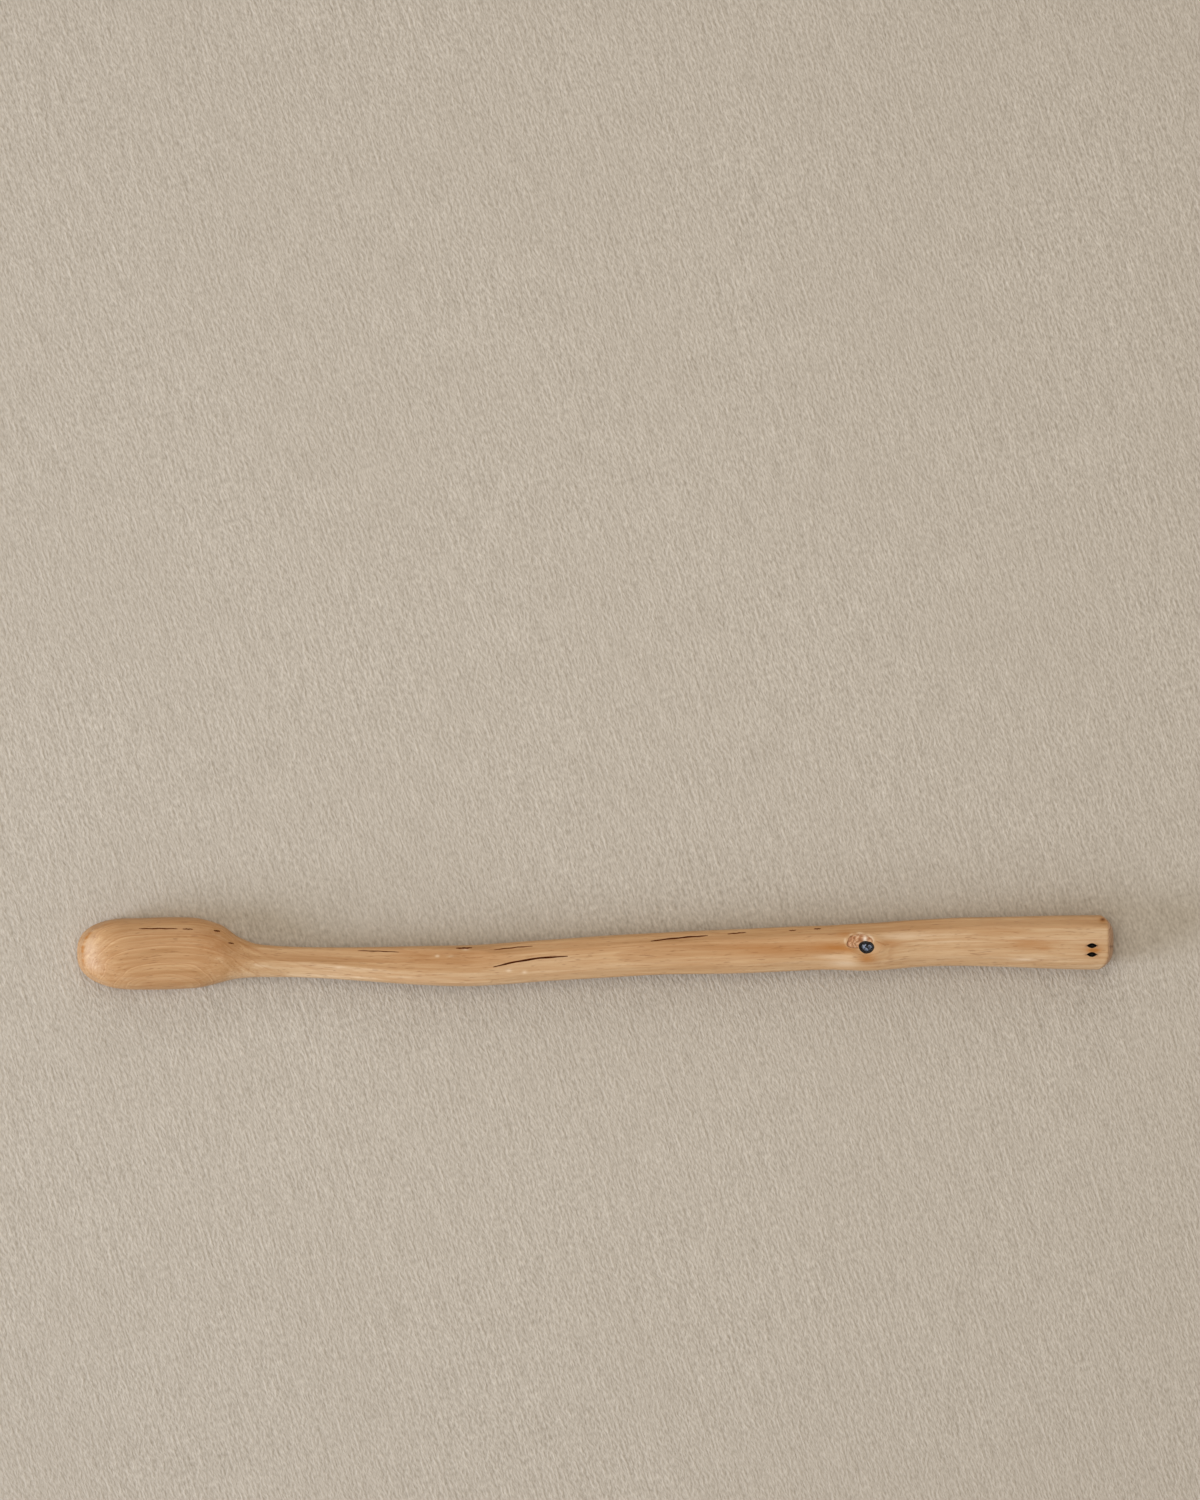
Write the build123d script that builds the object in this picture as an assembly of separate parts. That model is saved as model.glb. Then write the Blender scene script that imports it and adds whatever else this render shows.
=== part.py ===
from build123d import *

# Carved tea scoop, in millimetres: a bent branch, hollowed into a small bowl at one
# end, with a dead knot and its ingrown bark seated in the handle.
# X runs from the bowl's tip to the butt of the handle, Y across and Z up. The scoop lies
# bowl down on a table, so Z = 0 is the plane of the bowl's rim. Places along the branch
# are measured from the tip, and the finished pieces are then moved together, so that the
# origin is the bottom centre of the scoop's box.

import os
from dataclasses import astuple, dataclass, replace
from math import ceil, copysign, cos, pi, radians, sin, tan

from scipy.interpolate import PchipInterpolator

# Whole length, from the bowl's tip to the butt
SCOOP_LENGTH = 180.0

# Lengths along the bowl, each from the end of the one before, and of the butt's rounded end
TIP_LENGTH = 10.4
BOWL_RUN = 9.6
SHOULDER_RUN = 4.9
NAPE_RUN = 3.5
THROAT_RUN = 3.5
BUTT_ROUND = 3.1

# Places along the handle, as shares of its length from the throat to the butt
NECK_SHARE = 0.0459
BEND_SHARE = 0.2336
ELBOW_SHARE = 0.3275
GRIP_SHARE = 0.4686
SWELL_SHARE = 0.6556
KNOT_SHARE = 0.7103
COLLAR_SHARE = 0.7738
WAIST_SHARE = 0.8312

# Bowl: its outside, and the hollow inside it
BOWL_WIDTH = 12.5
BOWL_HEIGHT = 7.4
BOWL_ASIDE = -0.3
BOWL_KEEL = -4.4
TIP_ASIDE = 0.0
HEEL_WIDTH = 12.15
HEEL_ASIDE = -0.15
RIM_WALL = 1.2
CROWN_WALL = 1.8
TIP_WALL = 1.5
HOLLOW_LENGTH = 24.2

# Shoulder, nape and throat: where the bowl runs down into the neck
SHOULDER_WIDTH = 9.75
SHOULDER_TOP = 7.2
SHOULDER_KEEL = -3.2
SHOULDER_ASIDE = -0.31
NAPE_WIDTH = 6.85
NAPE_TOP = 6.6
NAPE_KEEL = -0.6
NAPE_ASIDE = -0.92
THROAT_WIDTH = 5.45
THROAT_TOP = 6.2
THROAT_KEEL = 0.9
THROAT_ASIDE = -1.44

# Neck and handle: width, thickness, height of the underside and place across
NECK_WIDTH = 4.9
NECK_THICKNESS = 4.7
NECK_KEEL = 1.3
NECK_ASIDE = -1.7
BEND_WIDTH = 7.1
BEND_THICKNESS = 6.4
BEND_KEEL = 1.0
BEND_ASIDE = -2.3
ELBOW_WIDTH = 7.15
ELBOW_THICKNESS = 6.6
ELBOW_KEEL = 0.7
ELBOW_ASIDE = -1.45
GRIP_WIDTH = 7.2
GRIP_THICKNESS = 6.8
GRIP_KEEL = 0.5
GRIP_ASIDE = -0.27
SWELL_WIDTH = 7.8
SWELL_THICKNESS = 7.4
SWELL_KEEL = 0.4
SWELL_ASIDE = 0.82
KNOT_WIDTH = 8.35
KNOT_THICKNESS = 7.7
KNOT_KEEL = 0.35
KNOT_ASIDE = 0.95
COLLAR_WIDTH = 8.0
COLLAR_THICKNESS = 7.6
COLLAR_KEEL = 0.15
COLLAR_ASIDE = 1.6
WAIST_WIDTH = 8.55
WAIST_THICKNESS = 7.95
WAIST_KEEL = 0.0
WAIST_ASIDE = 1.87
BUTT_WIDTH = 9.5
BUTT_THICKNESS = 8.5
BUTT_KEEL = -0.15
BUTT_ASIDE = 1.75

# Knife ridge along the top of the neck: slope of its two cuts and its wander across
NAPE_RIDGE_DEG = 6.0
NAPE_RIDGE_ASIDE = 0.1
THROAT_RIDGE_DEG = 16.0
THROAT_RIDGE_ASIDE = 0.2
NECK_RIDGE_DEG = 24.0
NECK_RIDGE_ASIDE = 0.25
BEND_RIDGE_DEG = 13.0
BEND_RIDGE_ASIDE = -0.7

# How square the sections and the rounded ends are: 2 is an ellipse
SECTION_SQUARENESS = 2.6
TIP_SQUARENESS = 2.35
HOLLOW_SQUARENESS = 2.4
BUTT_SQUARENESS = 2.0
# Narrow knife facets round the branch
KNIFE_FACETS = 24

# Dead knot, its bark ring and the ingrown bark beside it
KNOT_DIAMETER = 2.7
KNOT_TAPER_DEG = 8.0
KNOT_DEPTH = 4.0
KNOT_TILT_DEG = 12.0
KNOT_SINK = 0.12
BARK_THICKNESS = 0.38
BARK_SINK = 0.3
POCKET_DIAMETER = 3.2
POCKET_DEPTH = 0.9
POCKET_OFFSET = 1.3
POCKET_TURN_DEG = 155.0
POCKET_SINK = 0.18
SEAT_GAP = 0.02

# Drying checks: long thin splits that follow the grain
CHECK_DEPTH = 0.7
CHECK_WIDTH = 0.3
ELBOW_CHECK_LENGTH = 10.2
ELBOW_CHECK_ASIDE = -0.1
ELBOW_CHECK_TURN_DEG = 8.8
GRIP_CHECK_LENGTH = 9.6
GRIP_CHECK_ASIDE = 2.87
GRIP_CHECK_PAST = 3.5
GRIP_CHECK_TURN_DEG = 5.7
BOWL_CHECK_LENGTH = 9.5
BOWL_CHECK_ASIDE = 4.42
BOWL_CHECK_PAST = 5.3

# Pair of small burnt pits by the butt
PIT_LENGTH = 2.1
PIT_WIDTH = 0.95
PIT_DEPTH = 1.2
PIT_SPACING = 1.74
PIT_ASIDE = -0.85
PIT_FROM_BUTT = 3.7

# Tools stand this far out of the wood
CLEAR = 3.0
# How closely the surface is followed when the box is measured
MEASURE_FINENESS = 0.02


@dataclass
class Station:
    """One section of the branch: its place, its width, and its lowest and highest point."""

    at: float
    aside: float
    width: float
    under: float
    over: float
    ridge_deg: float = 0.0
    ridge_aside: float = 0.0

    def resized(self, share, about):
        """The same section, shrunk towards a height."""
        under = about + (self.under - about) * share
        over = about + (self.over - about) * share
        return Station(self.at, self.aside, self.width * share, under, over)

    @property
    def middle(self):
        return (self.under + self.over) / 2


def section(station, squareness=SECTION_SQUARENESS):
    """A station's many-sided face, square to the branch, with a corner on its ridge."""
    rise = (station.over - station.under) / 2
    ridge = station.aside + station.ridge_aside
    steepness = tan(radians(station.ridge_deg))
    corners = []
    for facet in range(KNIFE_FACETS):
        angle = 2 * pi * facet / KNIFE_FACETS
        out = copysign(abs(sin(angle)) ** (2 / squareness), sin(angle))
        up = copysign(abs(cos(angle)) ** (2 / squareness), cos(angle))
        lean = station.ridge_aside * (1 - abs(out)) if up > 0 else 0
        across = station.aside + lean + out * station.width / 2
        knife_cut = station.over - abs(across - ridge) * steepness
        corners.append((across, min(station.middle + up * rise, knife_cut)))
    square_on = Plane(origin=(station.at, 0, 0), x_dir=(0, 1, 0), z_dir=(1, 0, 0))
    return square_on * make_face(Polyline(*corners, close=True))


def rounding(share, squareness):
    """How far short of the end a rounded end is that share of its full size, from 0 to 1."""
    return (1 - share**squareness) ** (1 / squareness)


# Places along the branch
CROWN_AT = TIP_LENGTH
HEEL_AT = CROWN_AT + BOWL_RUN
SHOULDER_AT = HEEL_AT + SHOULDER_RUN
NAPE_AT = SHOULDER_AT + NAPE_RUN
THROAT_AT = NAPE_AT + THROAT_RUN
HANDLE_LENGTH = SCOOP_LENGTH - THROAT_AT
NECK_AT = THROAT_AT + NECK_SHARE * HANDLE_LENGTH
BEND_AT = THROAT_AT + BEND_SHARE * HANDLE_LENGTH
ELBOW_AT = THROAT_AT + ELBOW_SHARE * HANDLE_LENGTH
GRIP_AT = THROAT_AT + GRIP_SHARE * HANDLE_LENGTH
SWELL_AT = THROAT_AT + SWELL_SHARE * HANDLE_LENGTH
KNOT_AT = THROAT_AT + KNOT_SHARE * HANDLE_LENGTH
COLLAR_AT = THROAT_AT + COLLAR_SHARE * HANDLE_LENGTH
WAIST_AT = THROAT_AT + WAIST_SHARE * HANDLE_LENGTH
BUTT_AT = SCOOP_LENGTH - BUTT_ROUND

# Shares of full size at which a rounded end has a section
END_SHARES = (0.1, 0.3, 0.5, 0.7, 0.85, 0.95)
# Longest step between the sections of the run between the two ends
SECTION_STEP = 3.5


def named_stations():
    """The sections that shape the branch, from the bowl's tip to the butt, before its ends are rounded."""
    return [
        Station(0, TIP_ASIDE, BOWL_WIDTH, BOWL_KEEL, BOWL_HEIGHT),
        Station(CROWN_AT, BOWL_ASIDE, BOWL_WIDTH, BOWL_KEEL, BOWL_HEIGHT),
        Station(HEEL_AT, HEEL_ASIDE, HEEL_WIDTH, BOWL_KEEL, BOWL_HEIGHT),
        Station(SHOULDER_AT, SHOULDER_ASIDE, SHOULDER_WIDTH, SHOULDER_KEEL, SHOULDER_TOP),
        Station(NAPE_AT, NAPE_ASIDE, NAPE_WIDTH, NAPE_KEEL, NAPE_TOP, NAPE_RIDGE_DEG, NAPE_RIDGE_ASIDE),
        Station(
            THROAT_AT, THROAT_ASIDE, THROAT_WIDTH, THROAT_KEEL, THROAT_TOP,
            THROAT_RIDGE_DEG, THROAT_RIDGE_ASIDE,
        ),
        Station(
            NECK_AT, NECK_ASIDE, NECK_WIDTH, NECK_KEEL, NECK_KEEL + NECK_THICKNESS,
            NECK_RIDGE_DEG, NECK_RIDGE_ASIDE,
        ),
        Station(
            BEND_AT, BEND_ASIDE, BEND_WIDTH, BEND_KEEL, BEND_KEEL + BEND_THICKNESS,
            BEND_RIDGE_DEG, BEND_RIDGE_ASIDE,
        ),
        Station(ELBOW_AT, ELBOW_ASIDE, ELBOW_WIDTH, ELBOW_KEEL, ELBOW_KEEL + ELBOW_THICKNESS),
        Station(GRIP_AT, GRIP_ASIDE, GRIP_WIDTH, GRIP_KEEL, GRIP_KEEL + GRIP_THICKNESS),
        Station(SWELL_AT, SWELL_ASIDE, SWELL_WIDTH, SWELL_KEEL, SWELL_KEEL + SWELL_THICKNESS),
        Station(KNOT_AT, KNOT_ASIDE, KNOT_WIDTH, KNOT_KEEL, KNOT_KEEL + KNOT_THICKNESS),
        Station(COLLAR_AT, COLLAR_ASIDE, COLLAR_WIDTH, COLLAR_KEEL, COLLAR_KEEL + COLLAR_THICKNESS),
        Station(WAIST_AT, WAIST_ASIDE, WAIST_WIDTH, WAIST_KEEL, WAIST_KEEL + WAIST_THICKNESS),
        Station(BUTT_AT, BUTT_ASIDE, BUTT_WIDTH, BUTT_KEEL, BUTT_KEEL + BUTT_THICKNESS),
        Station(SCOOP_LENGTH, BUTT_ASIDE, BUTT_WIDTH, BUTT_KEEL, BUTT_KEEL + BUTT_THICKNESS),
    ]


def even_places(start, end):
    """Evenly spaced places from start to end, no further apart than the longest step."""
    count = ceil((end - start) / SECTION_STEP)
    return [start + (end - start) * step / count for step in range(count + 1)]


def table():
    """A slab under Z = 0, which pares the rim and the underside of the butt flat."""
    slab = Box(SCOOP_LENGTH + 2 * CLEAR, 2 * BOWL_WIDTH, 2 * BOWL_HEIGHT)
    return Pos(SCOOP_LENGTH / 2, 0, -BOWL_HEIGHT) * slab


def branch_blank():
    """The branch carved to its outline: bowl and neck up to the bend, then the handle."""
    named = named_stations()
    run = PchipInterpolator([station.at for station in named], [astuple(station) for station in named])
    bowl = []
    for share in END_SHARES:
        tip = Station(*run(TIP_LENGTH * (1 - rounding(share, TIP_SQUARENESS))))
        bowl.append(tip.resized(share, 0))
    bowl += [Station(*run(place)) for place in even_places(CROWN_AT, BEND_AT)]
    handle = [Station(*run(place)) for place in even_places(BEND_AT, BUTT_AT)]
    for share in reversed(END_SHARES):
        end = Station(*run(BUTT_AT + BUTT_ROUND * rounding(share, BUTT_SQUARENESS)))
        handle.append(end.resized(share, end.middle))
    lengths = [loft([section(station) for station in stations]) for stations in (bowl, handle)]
    return (lengths[0] - table()) + (lengths[1] - table())


def hollow():
    """The scooped-out inside of the bowl, mirrored below the rim."""
    middle_at = TIP_WALL + HOLLOW_LENGTH / 2
    depth = BOWL_HEIGHT - CROWN_WALL
    deepest = Station(middle_at, BOWL_ASIDE, BOWL_WIDTH - 2 * RIM_WALL, -depth, depth)
    stations = [deepest]
    for share in reversed(END_SHARES):
        reach = HOLLOW_LENGTH / 2 * rounding(share, HOLLOW_SQUARENESS)
        stations.insert(0, replace(deepest, at=middle_at - reach).resized(share, 0))
        stations.append(replace(deepest, at=middle_at + reach).resized(share, 0))
    return loft([section(station, HOLLOW_SQUARENESS) for station in stations])


def surface_height(blank, at, aside):
    """Height of the blank's upper surface over a point of the table."""
    plumb = Axis((at, aside, 0), (0, 0, 1))
    return max(point.Z for point, _ in blank.find_intersection_points(plumb))


def lens(length, width):
    """A pointed oval along X: two arcs that meet at its tips."""
    tips = [(-length / 2, 0), (length / 2, 0)]
    sides = [ThreePointArc(tips[0], (0, side * width / 2), tips[1]) for side in (1, -1)]
    return make_face(sides)


def lens_cut(blank, at, aside, length, width, depth, turn_deg=0.0):
    """A lens-shaped cut from the upper surface down to a depth."""
    floor = surface_height(blank, at, aside) - depth
    place = Pos(at, aside, floor) * Rot(0, 0, turn_deg)
    return place * extrude(lens(length, width), depth + CLEAR)


def drying_checks(blank):
    """The three long splits: at the elbow, on the grip and along the bowl's back."""
    elbow = lens_cut(
        blank, ELBOW_AT, ELBOW_ASIDE + ELBOW_CHECK_ASIDE,
        ELBOW_CHECK_LENGTH, CHECK_WIDTH, CHECK_DEPTH, ELBOW_CHECK_TURN_DEG,
    )
    grip = lens_cut(
        blank, GRIP_AT + GRIP_CHECK_PAST, GRIP_ASIDE + GRIP_CHECK_ASIDE,
        GRIP_CHECK_LENGTH, CHECK_WIDTH, CHECK_DEPTH, GRIP_CHECK_TURN_DEG,
    )
    bowl = lens_cut(
        blank, CROWN_AT + BOWL_CHECK_PAST, BOWL_ASIDE + BOWL_CHECK_ASIDE,
        BOWL_CHECK_LENGTH, CHECK_WIDTH, CHECK_DEPTH,
    )
    return [elbow, grip, bowl]


def burnt_pits(blank):
    """The two pits side by side near the butt."""
    at = SCOOP_LENGTH - PIT_FROM_BUTT
    middle = BUTT_ASIDE + PIT_ASIDE
    return [
        lens_cut(blank, at, middle + side * PIT_SPACING / 2, PIT_LENGTH, PIT_WIDTH, PIT_DEPTH)
        for side in (1, -1)
    ]


def knot_place(blank):
    """Frame at the floor of the knot's socket, with Z out along the twig."""
    mouth = Pos(KNOT_AT, KNOT_ASIDE, surface_height(blank, KNOT_AT, KNOT_ASIDE))
    return mouth * Rot(0, KNOT_TILT_DEG, 0) * Pos(0, 0, -KNOT_DEPTH)


def knot_cone(blank, radius):
    """A cone along the twig, of that radius at the surface, from the socket's floor out."""
    narrowing = tan(radians(KNOT_TAPER_DEG))
    inner = radius - KNOT_DEPTH * narrowing
    outer = radius + CLEAR * narrowing
    cone = Cone(inner, outer, KNOT_DEPTH + CLEAR, align=(Align.CENTER, Align.CENTER, Align.MIN))
    return knot_place(blank) * cone


def pocket_plug(blank, radius):
    """A round plug for the ingrown bark, beside the knot."""
    turn = radians(POCKET_TURN_DEG)
    at = KNOT_AT + POCKET_OFFSET * cos(turn)
    aside = KNOT_ASIDE + POCKET_OFFSET * sin(turn)
    floor = surface_height(blank, at, aside) - POCKET_DEPTH
    plug = Cylinder(radius, POCKET_DEPTH + CLEAR, align=(Align.CENTER, Align.CENTER, Align.MIN))
    return Pos(at, aside, floor) * plug


def sunk(blank, tool, sink):
    """The part of a tool that lies in the blank, its face that far below the surface."""
    return tool & (Pos(0, 0, -sink) * blank)


def build():
    """Every piece by name, before it is moved to the origin."""
    blank = branch_blank()
    knot_radius = KNOT_DIAMETER / 2
    core_radius = knot_radius - BARK_THICKNESS
    socket = knot_cone(blank, knot_radius)
    pocket = pocket_plug(blank, POCKET_DIAMETER / 2)

    body = blank - hollow()
    for tool in [socket, pocket, *drying_checks(blank), *burnt_pits(blank)]:
        body = body - tool

    ring = knot_cone(blank, knot_radius - SEAT_GAP) - knot_cone(blank, core_radius)
    core = knot_cone(blank, core_radius - SEAT_GAP)
    bark = pocket_plug(blank, POCKET_DIAMETER / 2 - SEAT_GAP) - knot_cone(blank, knot_radius + SEAT_GAP)
    return {
        "scoop_body": body,
        "knot_core": sunk(blank, core, KNOT_SINK),
        "knot_bark_ring": sunk(blank, ring, BARK_SINK),
        "ingrown_bark": sunk(blank, bark, POCKET_SINK),
    }


def to_origin(body):
    """The move that puts the bottom centre of the scoop's box at the origin."""
    points, _ = body.tessellate(MEASURE_FINENESS)
    along = [point.X for point in points]
    across = [point.Y for point in points]
    return Pos(-(min(along) + max(along)) / 2, -(min(across) + max(across)) / 2, 0)


def main():
    pieces = build()
    move = to_origin(pieces["scoop_body"])
    os.makedirs("parts", exist_ok=True)
    for name, piece in pieces.items():
        export_step(move * piece, f"parts/{name}.step")


main()
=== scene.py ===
from math import cos, pi, radians, sin, tan

import bmesh
import bpy
import numpy as np
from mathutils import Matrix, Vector
from mathutils.bvhtree import BVHTree


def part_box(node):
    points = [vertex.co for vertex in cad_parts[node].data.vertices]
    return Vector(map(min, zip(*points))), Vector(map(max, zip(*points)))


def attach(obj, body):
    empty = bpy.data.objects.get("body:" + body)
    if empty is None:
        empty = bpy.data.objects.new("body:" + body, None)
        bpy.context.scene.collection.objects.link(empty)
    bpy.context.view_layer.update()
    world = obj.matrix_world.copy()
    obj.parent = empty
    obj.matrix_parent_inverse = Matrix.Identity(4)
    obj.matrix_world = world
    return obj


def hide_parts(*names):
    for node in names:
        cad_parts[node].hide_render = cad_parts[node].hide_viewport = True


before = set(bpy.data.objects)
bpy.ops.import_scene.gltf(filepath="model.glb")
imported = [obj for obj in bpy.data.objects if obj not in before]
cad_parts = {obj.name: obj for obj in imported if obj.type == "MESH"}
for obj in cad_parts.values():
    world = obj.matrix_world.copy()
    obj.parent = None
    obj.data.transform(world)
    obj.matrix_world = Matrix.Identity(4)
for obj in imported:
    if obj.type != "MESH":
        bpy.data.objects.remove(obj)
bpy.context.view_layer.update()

# The tea scoop, dressed for the picture. Shapes are worked out in millimetres, with places
# along the branch measured from the bowl's tip, and written to the meshes in metres.

MM = 0.001
SCOOP_LENGTH = 180.0

# Sections of the branch: place from the tip, middle across, width, lowest point, highest point,
# and slope of the two knife cuts that meet in a ridge along the top
SECTIONS = {
    "tip": (0.0, -0.05, 12.4, -4.4, 7.4, 0.0),
    "crown": (10.4, -0.26, 12.4, -4.4, 7.4, 0.0),
    "belly": (15.0, -0.17, 12.55, -4.4, 7.4, 0.0),
    "heel": (20.0, -0.08, 12.3, -4.4, 7.4, 0.0),
    "shoulder": (24.9, -0.18, 10.15, -3.2, 7.2, 4.0),
    "hollow end": (28.4, -0.94, 7.05, -0.6, 6.6, 11.0),
    "throat": (31.9, -1.43, 5.7, 0.9, 6.2, 18.0),
    "neck": (38.7, -1.66, 5.3, 1.3, 6.0, 25.0),
    "bend": (66.5, -2.3, 7.1, 1.0, 7.4, 14.0),
    "elbow": (80.4, -1.46, 7.28, 0.7, 7.3, 0.0),
    "grip": (101.3, -0.22, 7.45, 0.5, 7.3, 0.0),
    "reach": (117.0, 0.29, 7.82, 0.45, 7.55, 0.0),
    "swell": (129.0, 0.82, 7.8, 0.4, 7.8, 0.0),
    "knot": (137.1, 0.95, 8.35, 0.35, 8.05, 0.0),
    "collar": (146.5, 1.6, 8.3, 0.15, 7.75, 0.0),
    "waist": (155.0, 1.87, 8.55, 0.0, 7.95, 0.0),
    "butt": (176.9, 1.75, 9.5, -0.15, 8.35, 0.0),
    "end": (180.0, 1.75, 9.5, -0.15, 8.35, 0.0),
}
SECTION_ROWS = np.array(list(SECTIONS.values()))
SECTION_SQUARENESS = 2.6

# The tip is rounded up to the crown, and has a narrow bevel round it: its height, how far in its
# upper edge lies, as a share of the tip, and the places along between which it fades out
TIP_LENGTH = SECTIONS["crown"][0]
TIP_SQUARENESS = 2.45
TIP_BEVEL_HEIGHT = 3.66
TIP_BEVEL_SHARE = 0.0865
TIP_BEVEL_FADE = (3.0, 6.5)

# The ridge that the knife left along the neck: place along the branch and place across
RIDGE_LINE = np.array([
    (22.0, 0.45), (26.5, -0.6), (30.5, -1.36), (36.0, -1.5), (43.0, -1.9),
    (51.0, -2.75), (58.0, -3.2), (68.5, -3.4), (75.0, -2.6),
])

# The ridge is whole where its cuts are this steep, in degrees. Above this strength, points this near to
# it, aside and below, move onto it. Its cuts fade out between these shares of half the width, and come
# in between these heights against the top
RIDGE_WHOLE_SLOPE = 4.0
RIDGE_HOLDS_ABOVE = 0.9
RIDGE_ASIDE = 0.14
RIDGE_BELOW = 0.8
RIDGE_CUTS_FADE = (0.7, 0.85)
RIDGE_CUTS_DEPTH = (-0.6, -0.4)

# The butt's cut end is a dome: how far aside its middle lies, and how far it falls back to the sides
# and to the top, at this distance from its middle
DOME_ASIDE = 0.12
DOME_SIDE = 1.95
DOME_TOP = 1.12
DOME_RADIUS = 4.5
DOME_POWER = 3.6
BUTT_RUN_FROM = 165.0
SIDE_END = SCOOP_LENGTH - DOME_SIDE

# Long knife facets on the handle: start, end, turn from straight up and depth of the cut
FACETS = (
    (108.0, 190.0, 49.0, 0.2),
    (72.0, 172.0, -47.0, 0.17),
    (84.0, 134.0, 6.0, 0.1),
    (66.0, 112.0, 38.0, 0.14),
    (140.0, 190.0, -4.0, 0.07),
    (70.0, 180.0, 96.0, 0.16),
    (74.0, 190.0, -93.0, 0.15),
    (60.0, 150.0, 141.0, 0.2),
    (68.0, 160.0, -138.0, 0.2),
    (40.0, 130.0, 180.0, 0.16),
)
FACET_FADE = 9.0
FACET_UNEVENNESS = 0.35

# The hollow under the bowl, and the number of gouge strokes round it
HOLLOW_START = 1.5
HOLLOW_LENGTH = 24.2
HOLLOW_WIDTH = 10.1
HOLLOW_DEPTH = 5.6
HOLLOW_SQUARENESS = 2.4
GOUGE_STROKES = 26

# The dead knot: its place, half its length and width at the surface, how it runs into the wood,
# and how far off its middle the dead wood is brightest
KNOT_AT, KNOT_ASIDE = SECTIONS["knot"][:2]
KNOT_LONG = 1.29
KNOT_WIDE = 1.12
KNOT_DEPTH = 3.0
KNOT_TAPER = tan(radians(8.0))
KNOT_LEAN = tan(radians(12.0))
BARK_THICKNESS = 0.42
CORE_SINK = 0.14
CORE_BRIGHT_AT = 0.28
CORE_BRIGHT_ASIDE = 0.06
SEAT_GAP = 0.02
CORE_FLOOR_GAP = 0.6

# The pocket of ingrown bark beside the knot
POCKET_AT = 135.8
POCKET_ASIDE = 2.0
POCKET_LONG = 2.1
POCKET_WIDE = 1.25
POCKET_DEPTH = 0.8
POCKET_FLOOR_GAP = 0.05
INGROWN_SINK = 0.06

# Uneven outlines of the knot and the pocket, and lumps round the bark ring: height, number and shift
KNOT_WAVES = ((0.045, 2, 0.6), (0.03, 3, -1.1), (0.012, 7, 0.0))
POCKET_WAVES = ((0.1, 2, -1.0), (0.07, 3, 0.4), (0.04, 5, 0.0))
BARK_LUMPS = ((0.07, 5, 0.5), (0.06, 11, 0.0), (0.03, 17, 2.0))

# Profile of the bark ring: distance inside the socket, height above the surface, and share of the lumps
BARK_PROFILE = (
    (SEAT_GAP, -1.9, 0.0),
    (SEAT_GAP, -0.3, 0.0),
    (0.06, -0.14, 0.5),
    (0.14, -0.07, 1.0),
    (0.26, -0.1, 1.0),
    (0.36, -0.2, 0.5),
    (BARK_THICKNESS, -0.34, 0.0),
    (BARK_THICKNESS, -1.9, 0.0),
)

# The swelling round the knot: its height, radius, width and stretch along
CALLUS_HEIGHT = 0.13
CALLUS_RADIUS = 2.1
CALLUS_WIDTH = 0.8
CALLUS_STRETCH = 1.25

# The weathered face of the dead wood: number, depth and narrowness of its cracks, and height of its lumps
CRACKS = 5
CRACK_DEPTH = 0.13
CRACK_NARROWNESS = 0.16
WEATHER_LUMPS = 0.05

# Folds of the ingrown bark: their width, height and stretch along, and height of the lumps on them
FOLD_WIDTH = 0.8
FOLD_HEIGHT = 0.045
FOLD_STRETCH = 1.15
FOLD_LUMPS = 0.03

# Drying checks: start along and aside, end along and aside, bow to the side, width and depth
CHECKS = {
    "elbow": (72.4, -2.48, 85.3, -0.62, 0.4, 0.38, 0.5),
    "above the elbow": (72.6, 0.5, 79.2, 1.15, 0.08, 0.18, 0.2),
    "grip": (99.7, 2.02, 109.6, 2.98, 0.1, 0.28, 0.4),
    "first dash": (113.0, 3.25, 116.2, 3.53, 0.02, 0.17, 0.22),
    "second dash": (123.7, 3.84, 124.9, 3.92, 0.01, 0.14, 0.18),
    "third dash": (128.0, 4.15, 129.2, 4.18, 0.0, 0.17, 0.22),
    "bowl": (10.9, 4.16, 17.6, 4.16, 0.05, 0.2, 0.22),
    "bowl end": (18.5, 4.12, 20.3, 4.08, 0.02, 0.2, 0.22),
    "shoulder nick": (23.9, 3.86, 25.0, 3.74, 0.02, 0.25, 0.26),
    "throat nick": (26.4, 1.72, 27.4, 1.58, 0.02, 0.24, 0.26),
    "neck": (48.9, 0.34, 56.0, 0.1, 0.03, 0.18, 0.22),
    "bend": (65.9, 0.8, 68.7, 0.88, 0.02, 0.2, 0.25),
}

# How the checks run: how blunt their ends are, and how much they swell and wander
CHECK_END = 0.02
CHECK_BLUNTNESS = 0.3
CHECK_SWELL = 0.1
CHECK_WANDER = 0.03

# Two burnt pits by the butt, and their walls: level, and share of the size at the surface
PIT_AT = 176.2
PIT_ASIDES = (1.22, -0.32)
PIT_LENGTH = 1.85
PIT_WIDTH = 0.86
PIT_DEPTH = 1.4
PIT_ROUNDNESS = 1.9
PIT_WALL = ((0.4, 1.1), (0.0, 1.0), (-0.4, 0.92), (-0.9, 0.75), (-PIT_DEPTH, 0.4))

# How far the tools stand above the surface that they cut, a height above the whole scoop, and one
# above which a place is on its upper side
CHECK_TOOL_ABOVE = 0.4
TOOL_ABOVE = 0.6
OVER_ALL = 30.0
UPPER_SIDE = 5.0

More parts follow.
